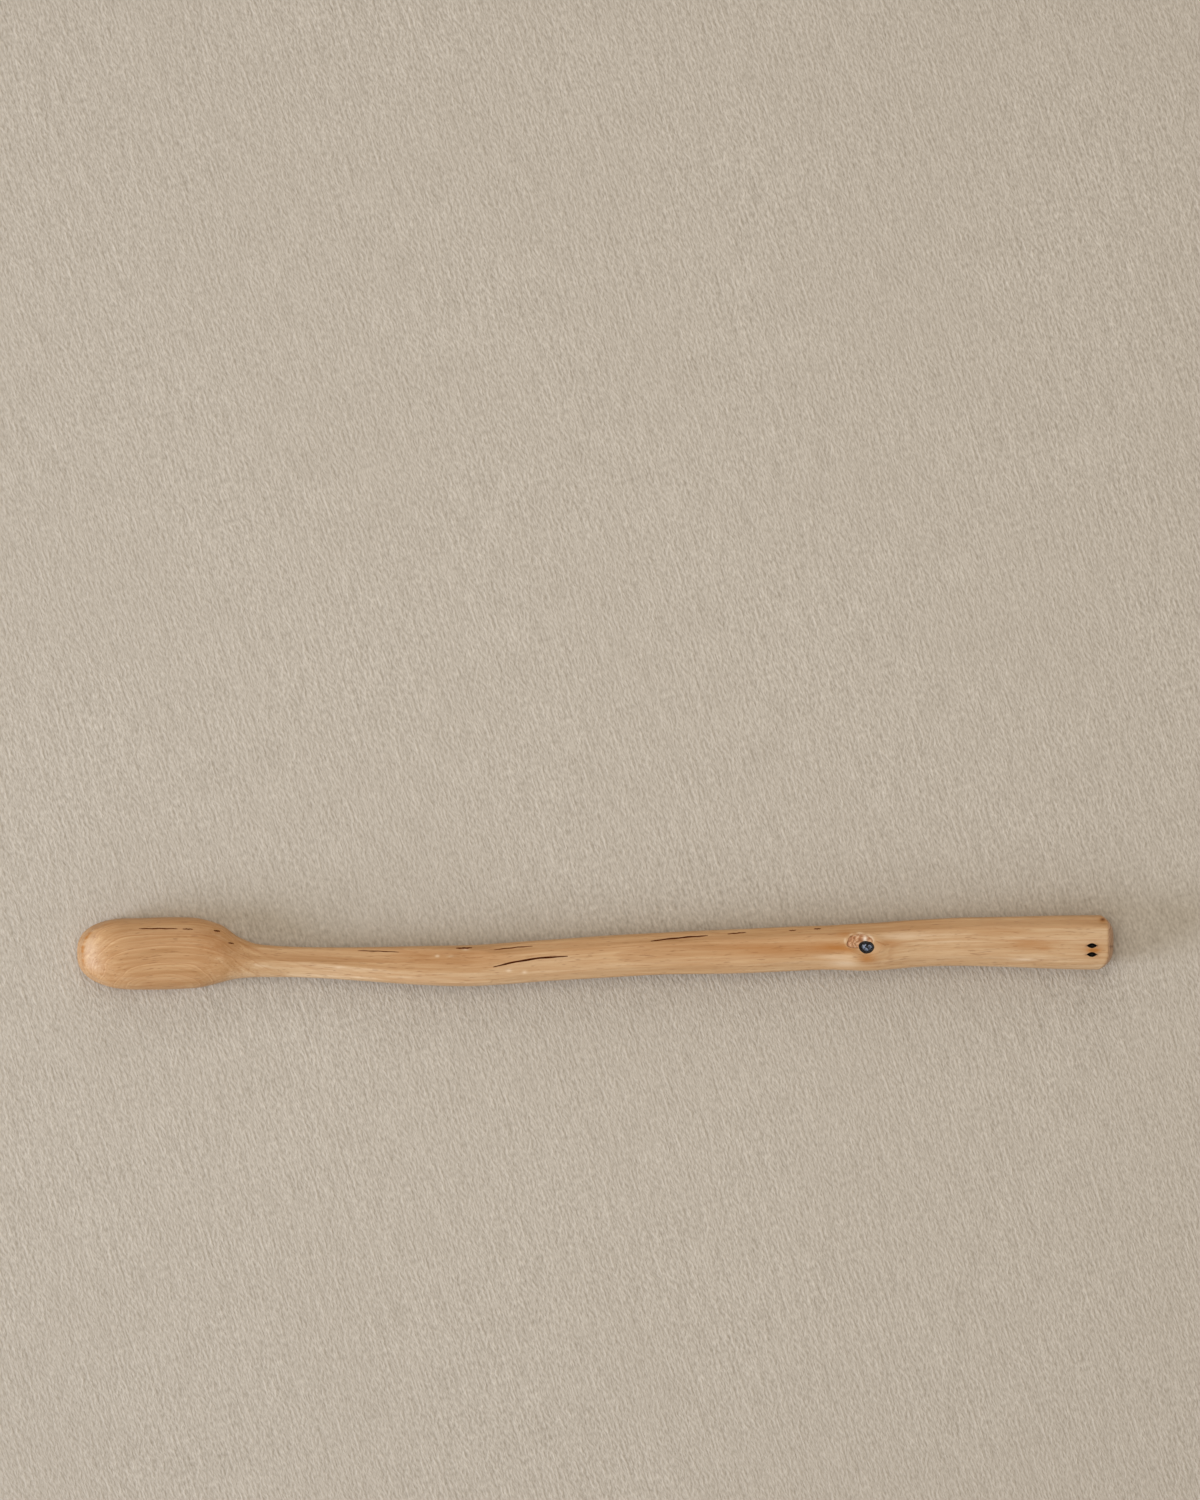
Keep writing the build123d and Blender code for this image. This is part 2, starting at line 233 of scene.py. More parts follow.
# How fine the meshes are
RING_STEP = 0.4
RING_POINTS = 96
TIP_RINGS = 26
BUTT_RINGS = 33
END_RINGS = 22
END_HOLE = 0.02
FIRST_ANGLE = 0.04
HOLLOW_RINGS = 14
CHECK_STEPS = 40
PIT_POINTS = 40
KNOT_POINTS = 72
PLUG_RINGS = 25
PLUG_HOLE = 0.04
VOXEL = 0.25
SOFTEN_SHARE = 0.5
SOFTEN_ROUNDS = 4
SEAM_GAP = 1e-7

# A plug's top edge is rounded down this far, from this share of its size outwards
PLUG_EDGE = 0.06
PLUG_EDGE_FROM = 0.85

# The scoop's frame against the tip's: the knot stands where its CAD solid does
knot_low, knot_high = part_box("knot_core")
SHIFT_X = -SCOOP_LENGTH / 2
SHIFT_Y = (knot_low.y + knot_high.y) / 2 / MM - KNOT_ASIDE


def signed_power(value, power):
    return np.sign(value) * np.abs(value) ** power


def rise(value, start, end):
    """0 before the start, 1 after the end, and smooth between them."""
    share = np.clip((value - start) / (end - start), 0.0, 1.0)
    return share * share * (3 - 2 * share)


def fall(value, start, end):
    """1 before the start, 0 after the end, and smooth between them."""
    return rise(-value, -end, -start)


def bump(value, middle, width):
    """1 at the middle, falling softly to 0 on both sides."""
    return np.exp(-(((value - middle) / width) ** 2))


def smooth_run(places, values, at):
    """Cubic curves through the values that never overshoot them."""
    gap = np.diff(places)
    slope_between = np.diff(values, axis=0) / gap[:, None]
    before, after = slope_between[:-1], slope_between[1:]
    weight_before = (2 * gap[1:] + gap[:-1])[:, None]
    weight_after = (gap[1:] + 2 * gap[:-1])[:, None]
    same_way = before * after > 0
    safe_before = np.where(same_way, before, 1.0)
    safe_after = np.where(same_way, after, 1.0)
    blended = (weight_before + weight_after) / (weight_before / safe_before + weight_after / safe_after)
    slope = np.zeros_like(values)
    slope[1:-1] = np.where(same_way, blended, 0.0)
    index = np.clip(np.searchsorted(places, at, side="right") - 1, 0, len(gap) - 1)
    step = gap[index][:, None]
    t = np.clip((at - places[index])[:, None] / step, 0.0, 1.0)
    start = values[index] * (1 + 2 * t) * (1 - t) ** 2 + slope[index] * step * t * (1 - t) ** 2
    end = values[index + 1] * t**2 * (3 - 2 * t) + slope[index + 1] * step * t**2 * (t - 1)
    return start + end


def table_at(table, at):
    """The columns of a table after its first, which is the place along, at other places along."""
    return smooth_run(table[:, 0], table[:, 1:], np.asarray(at, float)).T


def to_scene(points):
    """Points measured from the tip in millimetres, in the scene's metres."""
    return (np.asarray(points, float) + (SHIFT_X, SHIFT_Y, 0.0)) * MM


def from_scene(points):
    """Points in the scene's metres, measured from the tip in millimetres."""
    return np.asarray(points, float) / MM - (SHIFT_X, SHIFT_Y, 0.0)


# Making and cutting meshes


def add_skin(made, rings, closed=False):
    """Roll a sheet up round rings of points and stitch its seam. Its ends meet if closed, or are filled."""
    count, around = rings.shape[:2]
    spans = count if closed else count - 1
    sheet = bmesh.ops.create_grid(made, x_segments=around, y_segments=spans, size=1.0)["verts"]
    places = to_scene(rings)
    for vert in sheet:
        step = round((vert.co.x + 1) / 2 * around) % around
        ring = round((vert.co.y + 1) / 2 * spans) % count
        vert.co = places[ring, step]
    bmesh.ops.remove_doubles(made, verts=sheet, dist=SEAM_GAP)
    rims = [edge for edge in made.edges if edge.is_boundary]
    if rims:
        bmesh.ops.edgeloop_fill(made, edges=rims)


def object_from(name, made):
    """A new object with what a bmesh holds."""
    mesh = bpy.data.meshes.new(name)
    made.to_mesh(mesh)
    made.free()
    obj = bpy.data.objects.new(name, mesh)
    bpy.context.collection.objects.link(obj)
    return obj


def skinned(name, skins, material_index=0, closed=False):
    """An object with a skin over each set of rings."""
    made = bmesh.new()
    for rings in skins:
        add_skin(made, rings, closed)
    bmesh.ops.recalc_face_normals(made, faces=made.faces)
    for face in made.faces:
        face.material_index = material_index
    return object_from(name, made)


def flat_ring(along, aside, height):
    """A ring of points at one height."""
    return np.stack([along, aside, np.full(len(along), height)], axis=1)


def apply_modifiers(obj):
    graph = bpy.context.evaluated_depsgraph_get()
    mesh = bpy.data.meshes.new_from_object(obj.evaluated_get(graph))
    obj.modifiers.clear()
    old = obj.data
    obj.data = mesh
    bpy.data.meshes.remove(old)


def cut_away(obj, tool):
    """Cut a tool's volume out of an object, and remove the tool."""
    cut = obj.modifiers.new("cut", "BOOLEAN")
    cut.operation = "DIFFERENCE"
    cut.solver = "EXACT"
    cut.material_mode = "INDEX"
    cut.object = tool
    apply_modifiers(obj)
    tool_mesh = tool.data
    bpy.data.objects.remove(tool)
    bpy.data.meshes.remove(tool_mesh)
    return obj


def vectors_of(mesh, name):
    """A vector of each vertex of a mesh, as rows."""
    flat = np.empty(len(mesh.vertices) * 3)
    mesh.vertices.foreach_get(name, flat)
    return flat.reshape(-1, 3)


def points_of(mesh):
    return from_scene(vectors_of(mesh, "co"))


def set_points(mesh, points):
    mesh.vertices.foreach_set("co", to_scene(points).ravel())
    mesh.update()


# Shape of the branch


def round_end(steps, squareness):
    """Pairs of distance from the full size, as a share of the rounding, and share of full size."""
    angle = np.linspace(FIRST_ANGLE, pi / 2, steps)
    return np.cos(angle) ** (2 / squareness), np.sin(angle) ** (2 / squareness)


def square_round(count, squareness):
    """How far out and up the points of a squarish ring lie, from -1 to 1."""
    angle = np.linspace(0, 2 * pi, count, endpoint=False)
    out = signed_power(np.sin(angle), 2 / squareness)[None, :]
    up = signed_power(np.cos(angle), 2 / squareness)[None, :]
    return out, up


def dome_drop(off, up):
    """How far short of the butt's end its dome is, at a distance from its middle."""
    to_side = DOME_SIDE * np.abs((off - DOME_ASIDE) / DOME_RADIUS) ** DOME_POWER
    to_top = DOME_TOP * np.abs(up / DOME_RADIUS) ** DOME_POWER
    return to_side + to_top


def ring_places():
    """Where the branch's rings lie along it, and what share of its full section each one has."""
    reach, tip_share = round_end(TIP_RINGS, TIP_SQUARENESS)
    tip_at = TIP_LENGTH * (1 - reach)
    run_at = np.arange(TIP_LENGTH + RING_STEP, BUTT_RUN_FROM, RING_STEP)
    butt_at = np.linspace(BUTT_RUN_FROM, SIDE_END, BUTT_RINGS)
    end_share = np.linspace(1.0, END_HOLE, END_RINGS)[1:]
    end_at = np.full(len(end_share), SIDE_END)
    at = np.concatenate([tip_at, run_at, butt_at, end_at])
    share = np.concatenate([tip_share, np.ones(len(run_at) + len(butt_at)), end_share])
    return at, share


def branch_blank():
    """The branch before the hollow is cut, with its underside pared flat at the table."""
    at, share = ring_places()
    aside, width, under, over, ridge_deg = table_at(SECTION_ROWS, at)
    ridge_off = (table_at(RIDGE_LINE, at)[0] - aside) * rise(ridge_deg, 0.0, RIDGE_WHOLE_SLOPE)
    middle = (under + over) / 2
    # The tip shrinks towards the table, and the butt's end towards its own middle
    about = np.where(at < TIP_LENGTH, 0.0, middle)
    under = about + (under - about) * share
    over = about + (over - about) * share
    width = width * share
    middle = (under + over) / 2
    half_height = (over - under) / 2
    out, up = square_round(RING_POINTS, SECTION_SQUARENESS)
    lean = np.where(up > 0, ridge_off[:, None] * (1 - np.abs(out)), 0.0)
    across = aside[:, None] + lean + out * width[:, None] / 2
    height = middle[:, None] + up * half_height[:, None]
    steepness = np.tan(np.radians(ridge_deg))[:, None]
    off_ridge = np.abs(across - (aside + ridge_off)[:, None])
    height = np.minimum(height, over[:, None] - off_ridge * steepness)
    # The last rings stretch along the branch, so that the sides end at the rim of the dome
    dome_at = SCOOP_LENGTH - dome_drop(across - aside[:, None], height - middle[:, None])
    to_dome = np.clip((at - BUTT_RUN_FROM) / (SIDE_END - BUTT_RUN_FROM), 0.0, 1.0)[:, None]
    along = at[:, None] + (dome_at - at[:, None]) * to_dome**3
    height = np.maximum(height, 0.0)
    return skinned("scoop", [np.stack([along, across, height], axis=2)])


def bowl_hollow():
    """The scooped-out inside of the bowl, down through the table, in flat gouge strokes."""
    reach, share = round_end(HOLLOW_RINGS, HOLLOW_SQUARENESS)
    middle_at = HOLLOW_START + HOLLOW_LENGTH / 2
    half = HOLLOW_LENGTH / 2
    at = np.concatenate([middle_at - half * reach, (middle_at + half * reach[::-1])[1:]])
    share = np.concatenate([share, share[::-1][1:]])
    out, up = square_round(GOUGE_STROKES, HOLLOW_SQUARENESS)
    aside = table_at(SECTION_ROWS, [middle_at])[0]
    across = aside + share[:, None] * out * HOLLOW_WIDTH / 2
    height = share[:, None] * up * HOLLOW_DEPTH
    along = np.repeat(at[:, None], GOUGE_STROKES, axis=1)
    return skinned("hollow", [np.stack([along, across, height], axis=2)])


def section_places(points):
    """How far points lie aside of and above the middle of their section, and half its width and height."""
    aside, width, under, over = table_at(SECTION_ROWS, points[:, 0])[:4]
    return points[:, 1] - aside, points[:, 2] - (under + over) / 2, width / 2, (over - under) / 2


def sharpen_ridge(points):
    """Bring the knife ridge along the neck back to its full height, with mesh edges along it."""
    aside, width, under, over, ridge_deg = table_at(SECTION_ROWS, points[:, 0])
    ridge = table_at(RIDGE_LINE, points[:, 0])[0]
    strength = rise(ridge_deg, 0.0, RIDGE_WHOLE_SLOPE)
    near_ridge = (np.abs(points[:, 1] - ridge) < RIDGE_ASIDE) & (points[:, 2] > over - RIDGE_BELOW)
    on_ridge = near_ridge & (strength > RIDGE_HOLDS_ABOVE)
    points[:, 1] = np.where(on_ridge, ridge, points[:, 1])
    share = np.clip(np.abs(points[:, 1] - aside) / (width / 2), 0.0, 1.0)
    roundness = (1 - share**SECTION_SQUARENESS) ** (1 / SECTION_SQUARENESS)
    round_top = (under + over) / 2 + (over - under) / 2 * roundness
    ridge_top = over - np.abs(points[:, 1] - ridge) * np.tan(np.radians(ridge_deg))
    top = np.minimum(round_top, ridge_top)
    near = strength * fall(share, *RIDGE_CUTS_FADE) * rise(points[:, 2] - top, *RIDGE_CUTS_DEPTH)
    points[:, 2] += (top - points[:, 2]) * near


def pare_facets(points):
    """Long flat knife cuts along the handle, each a little deeper and shallower along its run."""
    power = SECTION_SQUARENESS / (SECTION_SQUARENESS - 1)
    for start, end, turn_deg, depth in FACETS:
        at = points[:, 0]
        off, up, half_width, half_height = section_places(points)
        aim_out, aim_up = sin(radians(turn_deg)), cos(radians(turn_deg))
        reach = ((half_width * abs(aim_out)) ** power + (half_height * abs(aim_up)) ** power) ** (1 / power)
        fade = rise(at, start, start + FACET_FADE) * fall(at, end - FACET_FADE, end)
        stroke = 1 + FACET_UNEVENNESS * np.sin(at * 0.31 + turn_deg) * np.sin(at * 0.083 + depth * 40)
        proud = np.maximum(off * aim_out + up * aim_up - (reach - depth * fade * stroke), 0.0)
        proud[fade == 0] = 0.0
        points[:, 1] -= proud * aim_out
        points[:, 2] = np.maximum(points[:, 2] - proud * aim_up, np.minimum(points[:, 2], 0.0))


def tip_share(points):
    """How far points lie from the middle of the tip, where 1 is its outline."""
    off, _, half_width, _ = section_places(points)
    ahead = np.maximum(TIP_LENGTH - points[:, 0], 0.0) / TIP_LENGTH
    return (ahead**TIP_SQUARENESS + np.abs(off / half_width) ** TIP_SQUARENESS) ** (1 / TIP_SQUARENESS)


def bevel_tip(points):
    """The narrow bevel round the edge of the tip."""
    off = section_places(points)[0]
    allowed = 1 - TIP_BEVEL_SHARE * points[:, 2] / TIP_BEVEL_HEIGHT
    shrink = np.minimum(allowed / np.maximum(tip_share(points), 0.01), 1.0)
    shrink = 1 + (shrink - 1) * fall(points[:, 0], *TIP_BEVEL_FADE)
    drawn_in = TIP_LENGTH - (TIP_LENGTH - points[:, 0]) * shrink
    points[:, 0] = np.where(points[:, 0] < TIP_LENGTH, drawn_in, points[:, 0])
    points[:, 1] += off * (shrink - 1)


def raise_callus(points):
    """The low swelling that has grown round the knot."""
    away = np.hypot((points[:, 0] - KNOT_AT) / CALLUS_STRETCH, points[:, 1] - KNOT_ASIDE)
    swelling = CALLUS_HEIGHT * bump(away, CALLUS_RADIUS, CALLUS_WIDTH)
    points[:, 2] += np.where(points[:, 2] > UPPER_SIDE, swelling, 0.0)


def carved_body():
    """The carved branch, as an even, softened mesh."""
    body = cut_away(branch_blank(), bowl_hollow())
    remesh = body.modifiers.new("even", "REMESH")
    remesh.mode = "VOXEL"
    remesh.voxel_size = VOXEL * MM
    smooth = body.modifiers.new("soften", "SMOOTH")
    smooth.factor = SOFTEN_SHARE
    smooth.iterations = SOFTEN_ROUNDS
    apply_modifiers(body)
    points = points_of(body.data)
    sharpen_ridge(points)
    pare_facets(points)
    bevel_tip(points)
    raise_callus(points)
    set_points(body.data, points)
    return body


# Cuts into the branch


def surface_finder(obj):
    """A function that gives the height of an object's upper surface at a place, in millimetres."""
    mesh = obj.data
    tree = BVHTree.FromPolygons(
        [point.co for point in mesh.vertices], [face.vertices[:] for face in mesh.polygons]
    )

    def height(along, aside):
        start = Vector(to_scene([along, aside, OVER_ALL]))
        hit = tree.ray_cast(start, Vector((0, 0, -1)))[0]
        return hit.z / MM

    return height


def heights(height, along, aside):
    return np.array([height(x, y) for x, y in zip(along, aside)])


def check_tool(height, start, start_aside, end, end_aside, bow, width, depth):
    """A split along the grain: a wandering wedge with blunt ends."""
    share = np.linspace(0.0, 1.0, CHECK_STEPS)
    arch = np.sin(pi * np.clip(share, CHECK_END, 1 - CHECK_END)) ** CHECK_BLUNTNESS
    swell = arch * (1 - CHECK_SWELL + CHECK_SWELL * np.sin(share * 23 + start))
    wander = bow * np.sin(pi * share) + CHECK_WANDER * np.sin(share * 17 + end) * np.sin(pi * share)
    along = start + (end - start) * share
    aside = start_aside + (end_aside - start_aside) * share + wander
    top = heights(height, along, aside)
    deep = depth * swell
    half = width / 2 * swell * (deep + CHECK_TOOL_ABOVE) / deep
    left = np.stack([along, aside + half, top + CHECK_TOOL_ABOVE], axis=1)
    right = np.stack([along, aside - half, top + CHECK_TOOL_ABOVE], axis=1)
    root = np.stack([along, aside, top - deep], axis=1)
    return np.stack([left, right, root], axis=1)


def pit_tool(height, at, aside):
    """A pointed oval pit with sloping sides."""
    turn = np.linspace(0, 2 * pi, PIT_POINTS, endpoint=False)
    long = np.cos(turn)
    wide = np.sign(np.sin(turn)) * (1 - np.abs(long) ** PIT_ROUNDNESS)
    top = height(at, aside)
    rings = []
    for level, share in PIT_WALL:
        along = at + long * PIT_LENGTH / 2 * share
        across = aside + wide * PIT_WIDTH / 2 * share
        rings.append(flat_ring(along, across, top + level))
    return np.stack(rings)


KNOT_TURN = np.linspace(0, 2 * pi, KNOT_POINTS, endpoint=False)


def uneven(turn, waves):
    """A radius that varies about 1 round a turn, in waves of a height, number and shift."""
    return sum((high * np.cos(number * turn + shift) for high, number, shift in waves), start=1.0)


def knot_ring(turn, inset, level):
    """The knot's outline, that far inside its socket at a level, leaning with the twig."""
    inset = inset - level * KNOT_TAPER
    radius = uneven(turn, KNOT_WAVES)
    along = np.cos(turn) * (KNOT_LONG * radius - inset)
    aside = np.sin(turn) * (KNOT_WIDE * radius - inset)
    return KNOT_AT + level * KNOT_LEAN + along, KNOT_ASIDE + aside


def socket_tool(height):
    """The socket that the knot and its bark sit in."""
    top = height(KNOT_AT, KNOT_ASIDE)
    rings = []
    for level in (TOOL_ABOVE, 0.0, -1.0, -2.0, -KNOT_DEPTH):
        rings.append(flat_ring(*knot_ring(KNOT_TURN, 0.0, level), top + level))
    return np.stack(rings)


def pocket_outline(turn, inset):
    """The uneven outline of the ingrown bark's pocket, that far inside its edge."""
    radius = uneven(turn, POCKET_WAVES)
    along = POCKET_AT + np.cos(turn) * (POCKET_LONG * radius - inset)
    aside = POCKET_ASIDE + np.sin(turn) * (POCKET_WIDE * radius - inset)
    return along, aside


def upright_tool(outline, height, depth):
    """A tool with upright walls, down to a depth under the surface at the knot."""
    top = height(KNOT_AT, KNOT_ASIDE)
    return np.stack([flat_ring(*outline, top + level) for level in (TOOL_ABOVE, -depth)])


# The knot and its bark


def domed_plug(name, rim, height, floor_level, sink, relief):
    """A plug with a detailed top: rings of its rim shrunk to the middle, above a wall and a floor."""
    middle = np.array([np.mean(rim[0]), np.mean(rim[1])])
    rings = [flat_ring(*rim, floor_level)]
    for share in np.linspace(1.0, PLUG_HOLE, PLUG_RINGS):
        along = middle[0] + (rim[0] - middle[0]) * share
        aside = middle[1] + (rim[1] - middle[1]) * share
        edge = PLUG_EDGE * rise(share, PLUG_EDGE_FROM, 1.0)
        top = heights(height, along, aside) - sink - edge + relief(along, aside)
        rings.append(np.stack([along, aside, top], axis=1))
    return skinned(name, [np.stack(rings)])


def weathered(along, aside):
    """The cracked, weathered face of the dead wood, with its cracks out from the middle."""
    turn = np.arctan2(aside - KNOT_ASIDE, along - KNOT_AT)
    away = np.hypot(along - KNOT_AT, aside - KNOT_ASIDE)
    crack = bump(np.sin(turn * CRACKS / 2 + 0.8 * away), 0.0, CRACK_NARROWNESS) * rise(away, 0.1, 0.5)
    lumps = WEATHER_LUMPS * np.sin(along * 9.0 + 1.3 * aside) * np.sin(aside * 8.0)
    return lumps - CRACK_DEPTH * crack


def folds(along, aside):
    """The folds of the ingrown bark, which lie round the knot: -1 in a furrow and 1 on a crest."""
    away = np.hypot((along - KNOT_AT) / FOLD_STRETCH, aside - KNOT_ASIDE)
    wander = 0.26 * np.sin(along * 2.3 + 0.7) + 0.16 * np.sin(aside * 5.1 + along)
    return np.sin(2 * pi * (away + wander) / FOLD_WIDTH)


def folded(along, aside):
    """The uneven face of the ingrown bark."""
    return FOLD_HEIGHT * folds(along, aside) + FOLD_LUMPS * np.sin(aside * 4.7 - along * 2.1)


def knot_core(height):
    """The dead twig's wood, sunk a little below the surface."""
    rim = knot_ring(KNOT_TURN, BARK_THICKNESS + SEAT_GAP, 0.0)
    floor_level = height(KNOT_AT, KNOT_ASIDE) - KNOT_DEPTH + CORE_FLOOR_GAP
    return domed_plug("knot_core_wood", rim, height, floor_level, CORE_SINK, weathered)


def knot_bark(height):
    """The rough ring of bark between the dead twig and the living wood."""
    top = height(KNOT_AT, KNOT_ASIDE)
    loops = []
    for turn in KNOT_TURN:
        lump = sum(high * sin(number * turn + shift) for high, number, shift in BARK_LUMPS)
        loop = []
        for inset, level, lump_share in BARK_PROFILE:
            loop.append((*knot_ring(turn, inset, 0.0), top + (level + lump_share * lump)))
        loops.append(loop)
    return skinned("knot_bark_crust", [np.array(loops)], closed=True)


def ingrown_bark(height):
    """Bark that the wood has grown over, beside the knot."""
    rim = pocket_outline(KNOT_TURN, SEAT_GAP)
    floor_level = height(KNOT_AT, KNOT_ASIDE) - POCKET_DEPTH + POCKET_FLOOR_GAP
    plug = domed_plug("ingrown_bark_crust", rim, height, floor_level, INGROWN_SINK, folded)
    clearance = upright_tool(knot_ring(KNOT_TURN, -SEAT_GAP, 0.0), height, KNOT_DEPTH)
    return cut_away(plug, skinned("knot_clearance", [clearance]))


# Surface data for the materials

# Orange-brown stains, and painted shade on the shoulder and at the bend: strength, place along and aside,
# and how far they spread along and aside
STAINS_AND_SHADE = {
    "left of the knot": (0.9, 132.2, 0.9, 4.6, 0.85),
    "right of the knot": (0.65, 140.6, 1.75, 2.2, 0.6),
    "below the knot": (1.0, 137.1, -1.1, 1.9, 1.0),
    "over the pocket": (0.55, 133.4, 3.3, 1.4, 0.8),
    "swell": (0.55, 121.0, 0.7, 9.0, 1.0),
    "waist": (0.5, 165.5, 1.6, 4.2, 1.2),
    "waist spot": (0.3, 168.1, 0.7, 1.1, 0.5),
    "between the pits": (1.0, 176.5, 0.38, 1.1, 0.42),
    "round the pits": (0.35, 176.4, 0.4, 2.0, 1.6),
    "butt corner": (1.3, 178.1, 5.7, 0.5, 0.35),
    # painted shade, with some stain: the shoulder, darker where it slopes away from the light
    "shoulder": (0.4, 24.5, 1.4, 4.0, 2.6),
    # painted shade, with some stain: the upper facet at the bend, darker as it faces away from the light
    "bend": (0.3, 66.0, -0.9, 9.0, 1.4),
}

# Pale callus, sapwood and flecks, a painted highlight on the tip and painted light on the top of the butt,
# given in the same way
PALE_SPOTS_AND_LIGHT = {
    # painted highlight: the window's sheen on the tip, painted as a pale spot
    "tip": (0.28, 2.4, 1.1, 1.4, 2.4),
    "under the left stain": (0.45, 131.5, -0.6, 4.0, 0.45),
    "right of the knot": (0.4, 143.5, 2.9, 4.0, 0.6),
    "knot's lower side": (0.5, 133.5, -1.8, 2.6, 0.6),
    # painted light: lifts the upper side of the butt, darker where it faces away from the lamps
    "top of the butt": (0.1, 166.0, 5.2, 18.0, 1.3),
    "waist fleck": (0.6, 164.4, -1.2, 2.0, 0.22),
    "bend fleck": (0.9, 62.7, -0.6, 0.45, 0.25),
    "second bend fleck": (0.6, 65.0, -0.6, 0.7, 0.2),
    "elbow fleck": (0.8, 75.1, -3.1, 0.45, 0.25),
    "second elbow fleck": (0.8, 77.8, -3.4, 0.4, 0.25),
    "bend edge": (0.6, 67.6, 0.55, 0.6, 0.25),
    "neck fleck": (0.4, 45.5, -2.6, 0.5, 0.2),
}

# Dark brown marks, faint painted shade on the shoulder and at the bend, given in the same way, and the
# scorched ends of the pits: strength and spread
SCORCHES_AND_SHADE = {
    "end grain": (0.6, 179.6, 1.08, 0.5, 0.2),
    "butt corner": (0.9, 178.1, 5.75, 0.4, 0.25),
    # painted shade: the shoulder, darker where it slopes away from the light
    "shoulder": (0.09, 25.0, 1.5, 3.5, 2.5),
    # painted shade: the upper facet at the bend, darker as it faces away from the light
    "bend": (0.06, 66.5, 0.0, 7.0, 1.5),
    "swell fleck": (0.4, 122.2, 1.17, 0.2, 0.12),
}
PIT_SCORCH = 0.8
PIT_SCORCH_SPREAD = (0.22, 0.15)

# Pale callus on the ingrown bark, given in the same way
CALLUS_SPOTS = {"above the knot": (0.9, 136.85, 2.4, 0.3, 0.5)}

# Stains and scorches lie above this height
MARKS_ABOVE = 3.0

# The pale lip round the pocket: its strength, its place as a share of the pocket's size, and its width
LIP_STRENGTH = 0.75
LIP_AT = 1.14
LIP_WIDTH = 0.13

# The dark line on the tip's bevel, painted shade in the crease along its upper edge, broken into darker
# marks: its place and width as shares of the tip, the places along between which it fades out, the shares of
# half the width between which it comes in, and its least height
BEVEL_LINE_AT = 0.985 - TIP_BEVEL_SHARE
BEVEL_LINE_WIDTH = 0.026
BEVEL_LINE_FADE = (3.0, 7.0)
BEVEL_LINE_SIDE = (-0.75, 0.1)
BEVEL_LINE_ABOVE = 1.0

# The edge between the orange side above it and the pale side below it, seen from above, partly the wood's
# own tone and partly painted light: the lower side and the facet under the neck's ridge are painted paler as
# lit, the upper side more orange as shade:
# place along the branch, place across, how soft the edge is, and how pale the pale side is
TONE_AND_LIGHT_EDGE = np.array([
    (0.0, -9.0, 1.4, 1.0), (22.0, -7.0, 1.4, 1.0), (28.0, -2.9, 1.3, 1.0), (32.0, -1.5, 0.6, 1.0),
    (38.7, -1.62, 0.16, 1.0), (43.0, -1.9, 0.14, 1.0), (51.0, -2.75, 0.16, 0.95), (58.0, -3.2, 0.18, 0.85),
    (68.5, -3.4, 0.2, 0.8), (74.0, -2.4, 0.2, 0.7), (80.0, -0.95, 0.2, 0.55), (85.5, -0.65, 0.3, 0.5),
    (90.0, -1.15, 0.7, 0.45), (131.0, -1.1, 0.8, 0.7), (136.0, 0.6, 0.9, 0.8), (141.0, 3.2, 0.7, 0.8),
    (153.0, 3.75, 0.6, 0.8), (160.0, 2.9, 0.8, 0.85), (170.0, 4.1, 0.4, 0.9), (180.0, 4.1, 0.4, 0.9),
])

# The pith runs through the branch on this line: place along, aside and height
PITH = np.array([
    (0.0, 2.0, 1.0), (4.5, 3.0, 1.0), (10.0, 4.1, 1.0), (16.5, 4.6, 1.0), (22.0, 4.2, 1.0), (27.0, 3.4, 1.2),
    (36.0, 1.2, 2.0), (66.5, -2.0, 3.6), (101.0, -0.3, 4.3), (137.0, 0.7, 4.8), (180.0, 1.08, 5.5),
])

# The grain arches over the bowl: place along, and how far its lines lie aside of straight ones
GRAIN_ARCH = np.array([
    (0.0, -2.6), (4.5, -1.6), (10.0, -0.5), (16.5, 0.0),
    (22.0, -0.2), (27.0, -0.55), (36.0, -0.9), (180.0, -0.9),
])

# The grain parts round the knot, as water does round a post: share of the way that it moves, radius of
# what it goes round, how near that counts and how strongly at most, stretch along, and reach
PARTING_SHARE = 0.9
PARTING_RADIUS = 1.7
PARTING_NEAREST = 1.3
PARTING_MOST = 1.3
PARTING_STRETCH = 1.8
PARTING_REACH = 3.0

# Low on the bowl the rings dip towards both ends: depth, middle, half the length, the most, how far to
# the lower side the dip comes in, and the places along between which it fades out
DIP_DEPTH = 0.9
DIP_AT = 15.0
DIP_HALF_LENGTH = 8.5
DIP_MOST = 1.3
DIP_ASIDE = (-4.5, -0.8)
DIP_FADE = (24.0, 34.0)

# The butt's end grain comes in where the surface faces this much along the branch, from 0 to 1
CUT_END_FACING = (0.12, 0.7)


def soft_spots(points, rows):
    """Soft spots added up, each strongest at its place and falling to 0 around it."""
    total = 0
    for strength, along, aside, length, width in rows.values():
        off_along = ((points[:, 0] - along) / length) ** 2
        off_aside = ((points[:, 1] - aside) / width) ** 2
        total = total + strength * np.exp(-off_along - off_aside)
    return total


def bevel_crease_shade(points):
    """Painted shade: the dark, broken line in the crease along the upper edge of the tip's bevel, clear of
    the table.
    """
    along, aside, height = points.T
    off, _, half_width, _ = section_places(points)
    line = bump(tip_share(points), BEVEL_LINE_AT, BEVEL_LINE_WIDTH) * fall(along, *BEVEL_LINE_FADE)
    broken = np.maximum(0.75 + 0.5 * np.sin(aside * 2.7) + 0.4 * np.sin(aside * 7.9), 0.0)
    upper_side = rise(off / half_width, *BEVEL_LINE_SIDE)
    return line * broken * upper_side * (height > BEVEL_LINE_ABOVE)


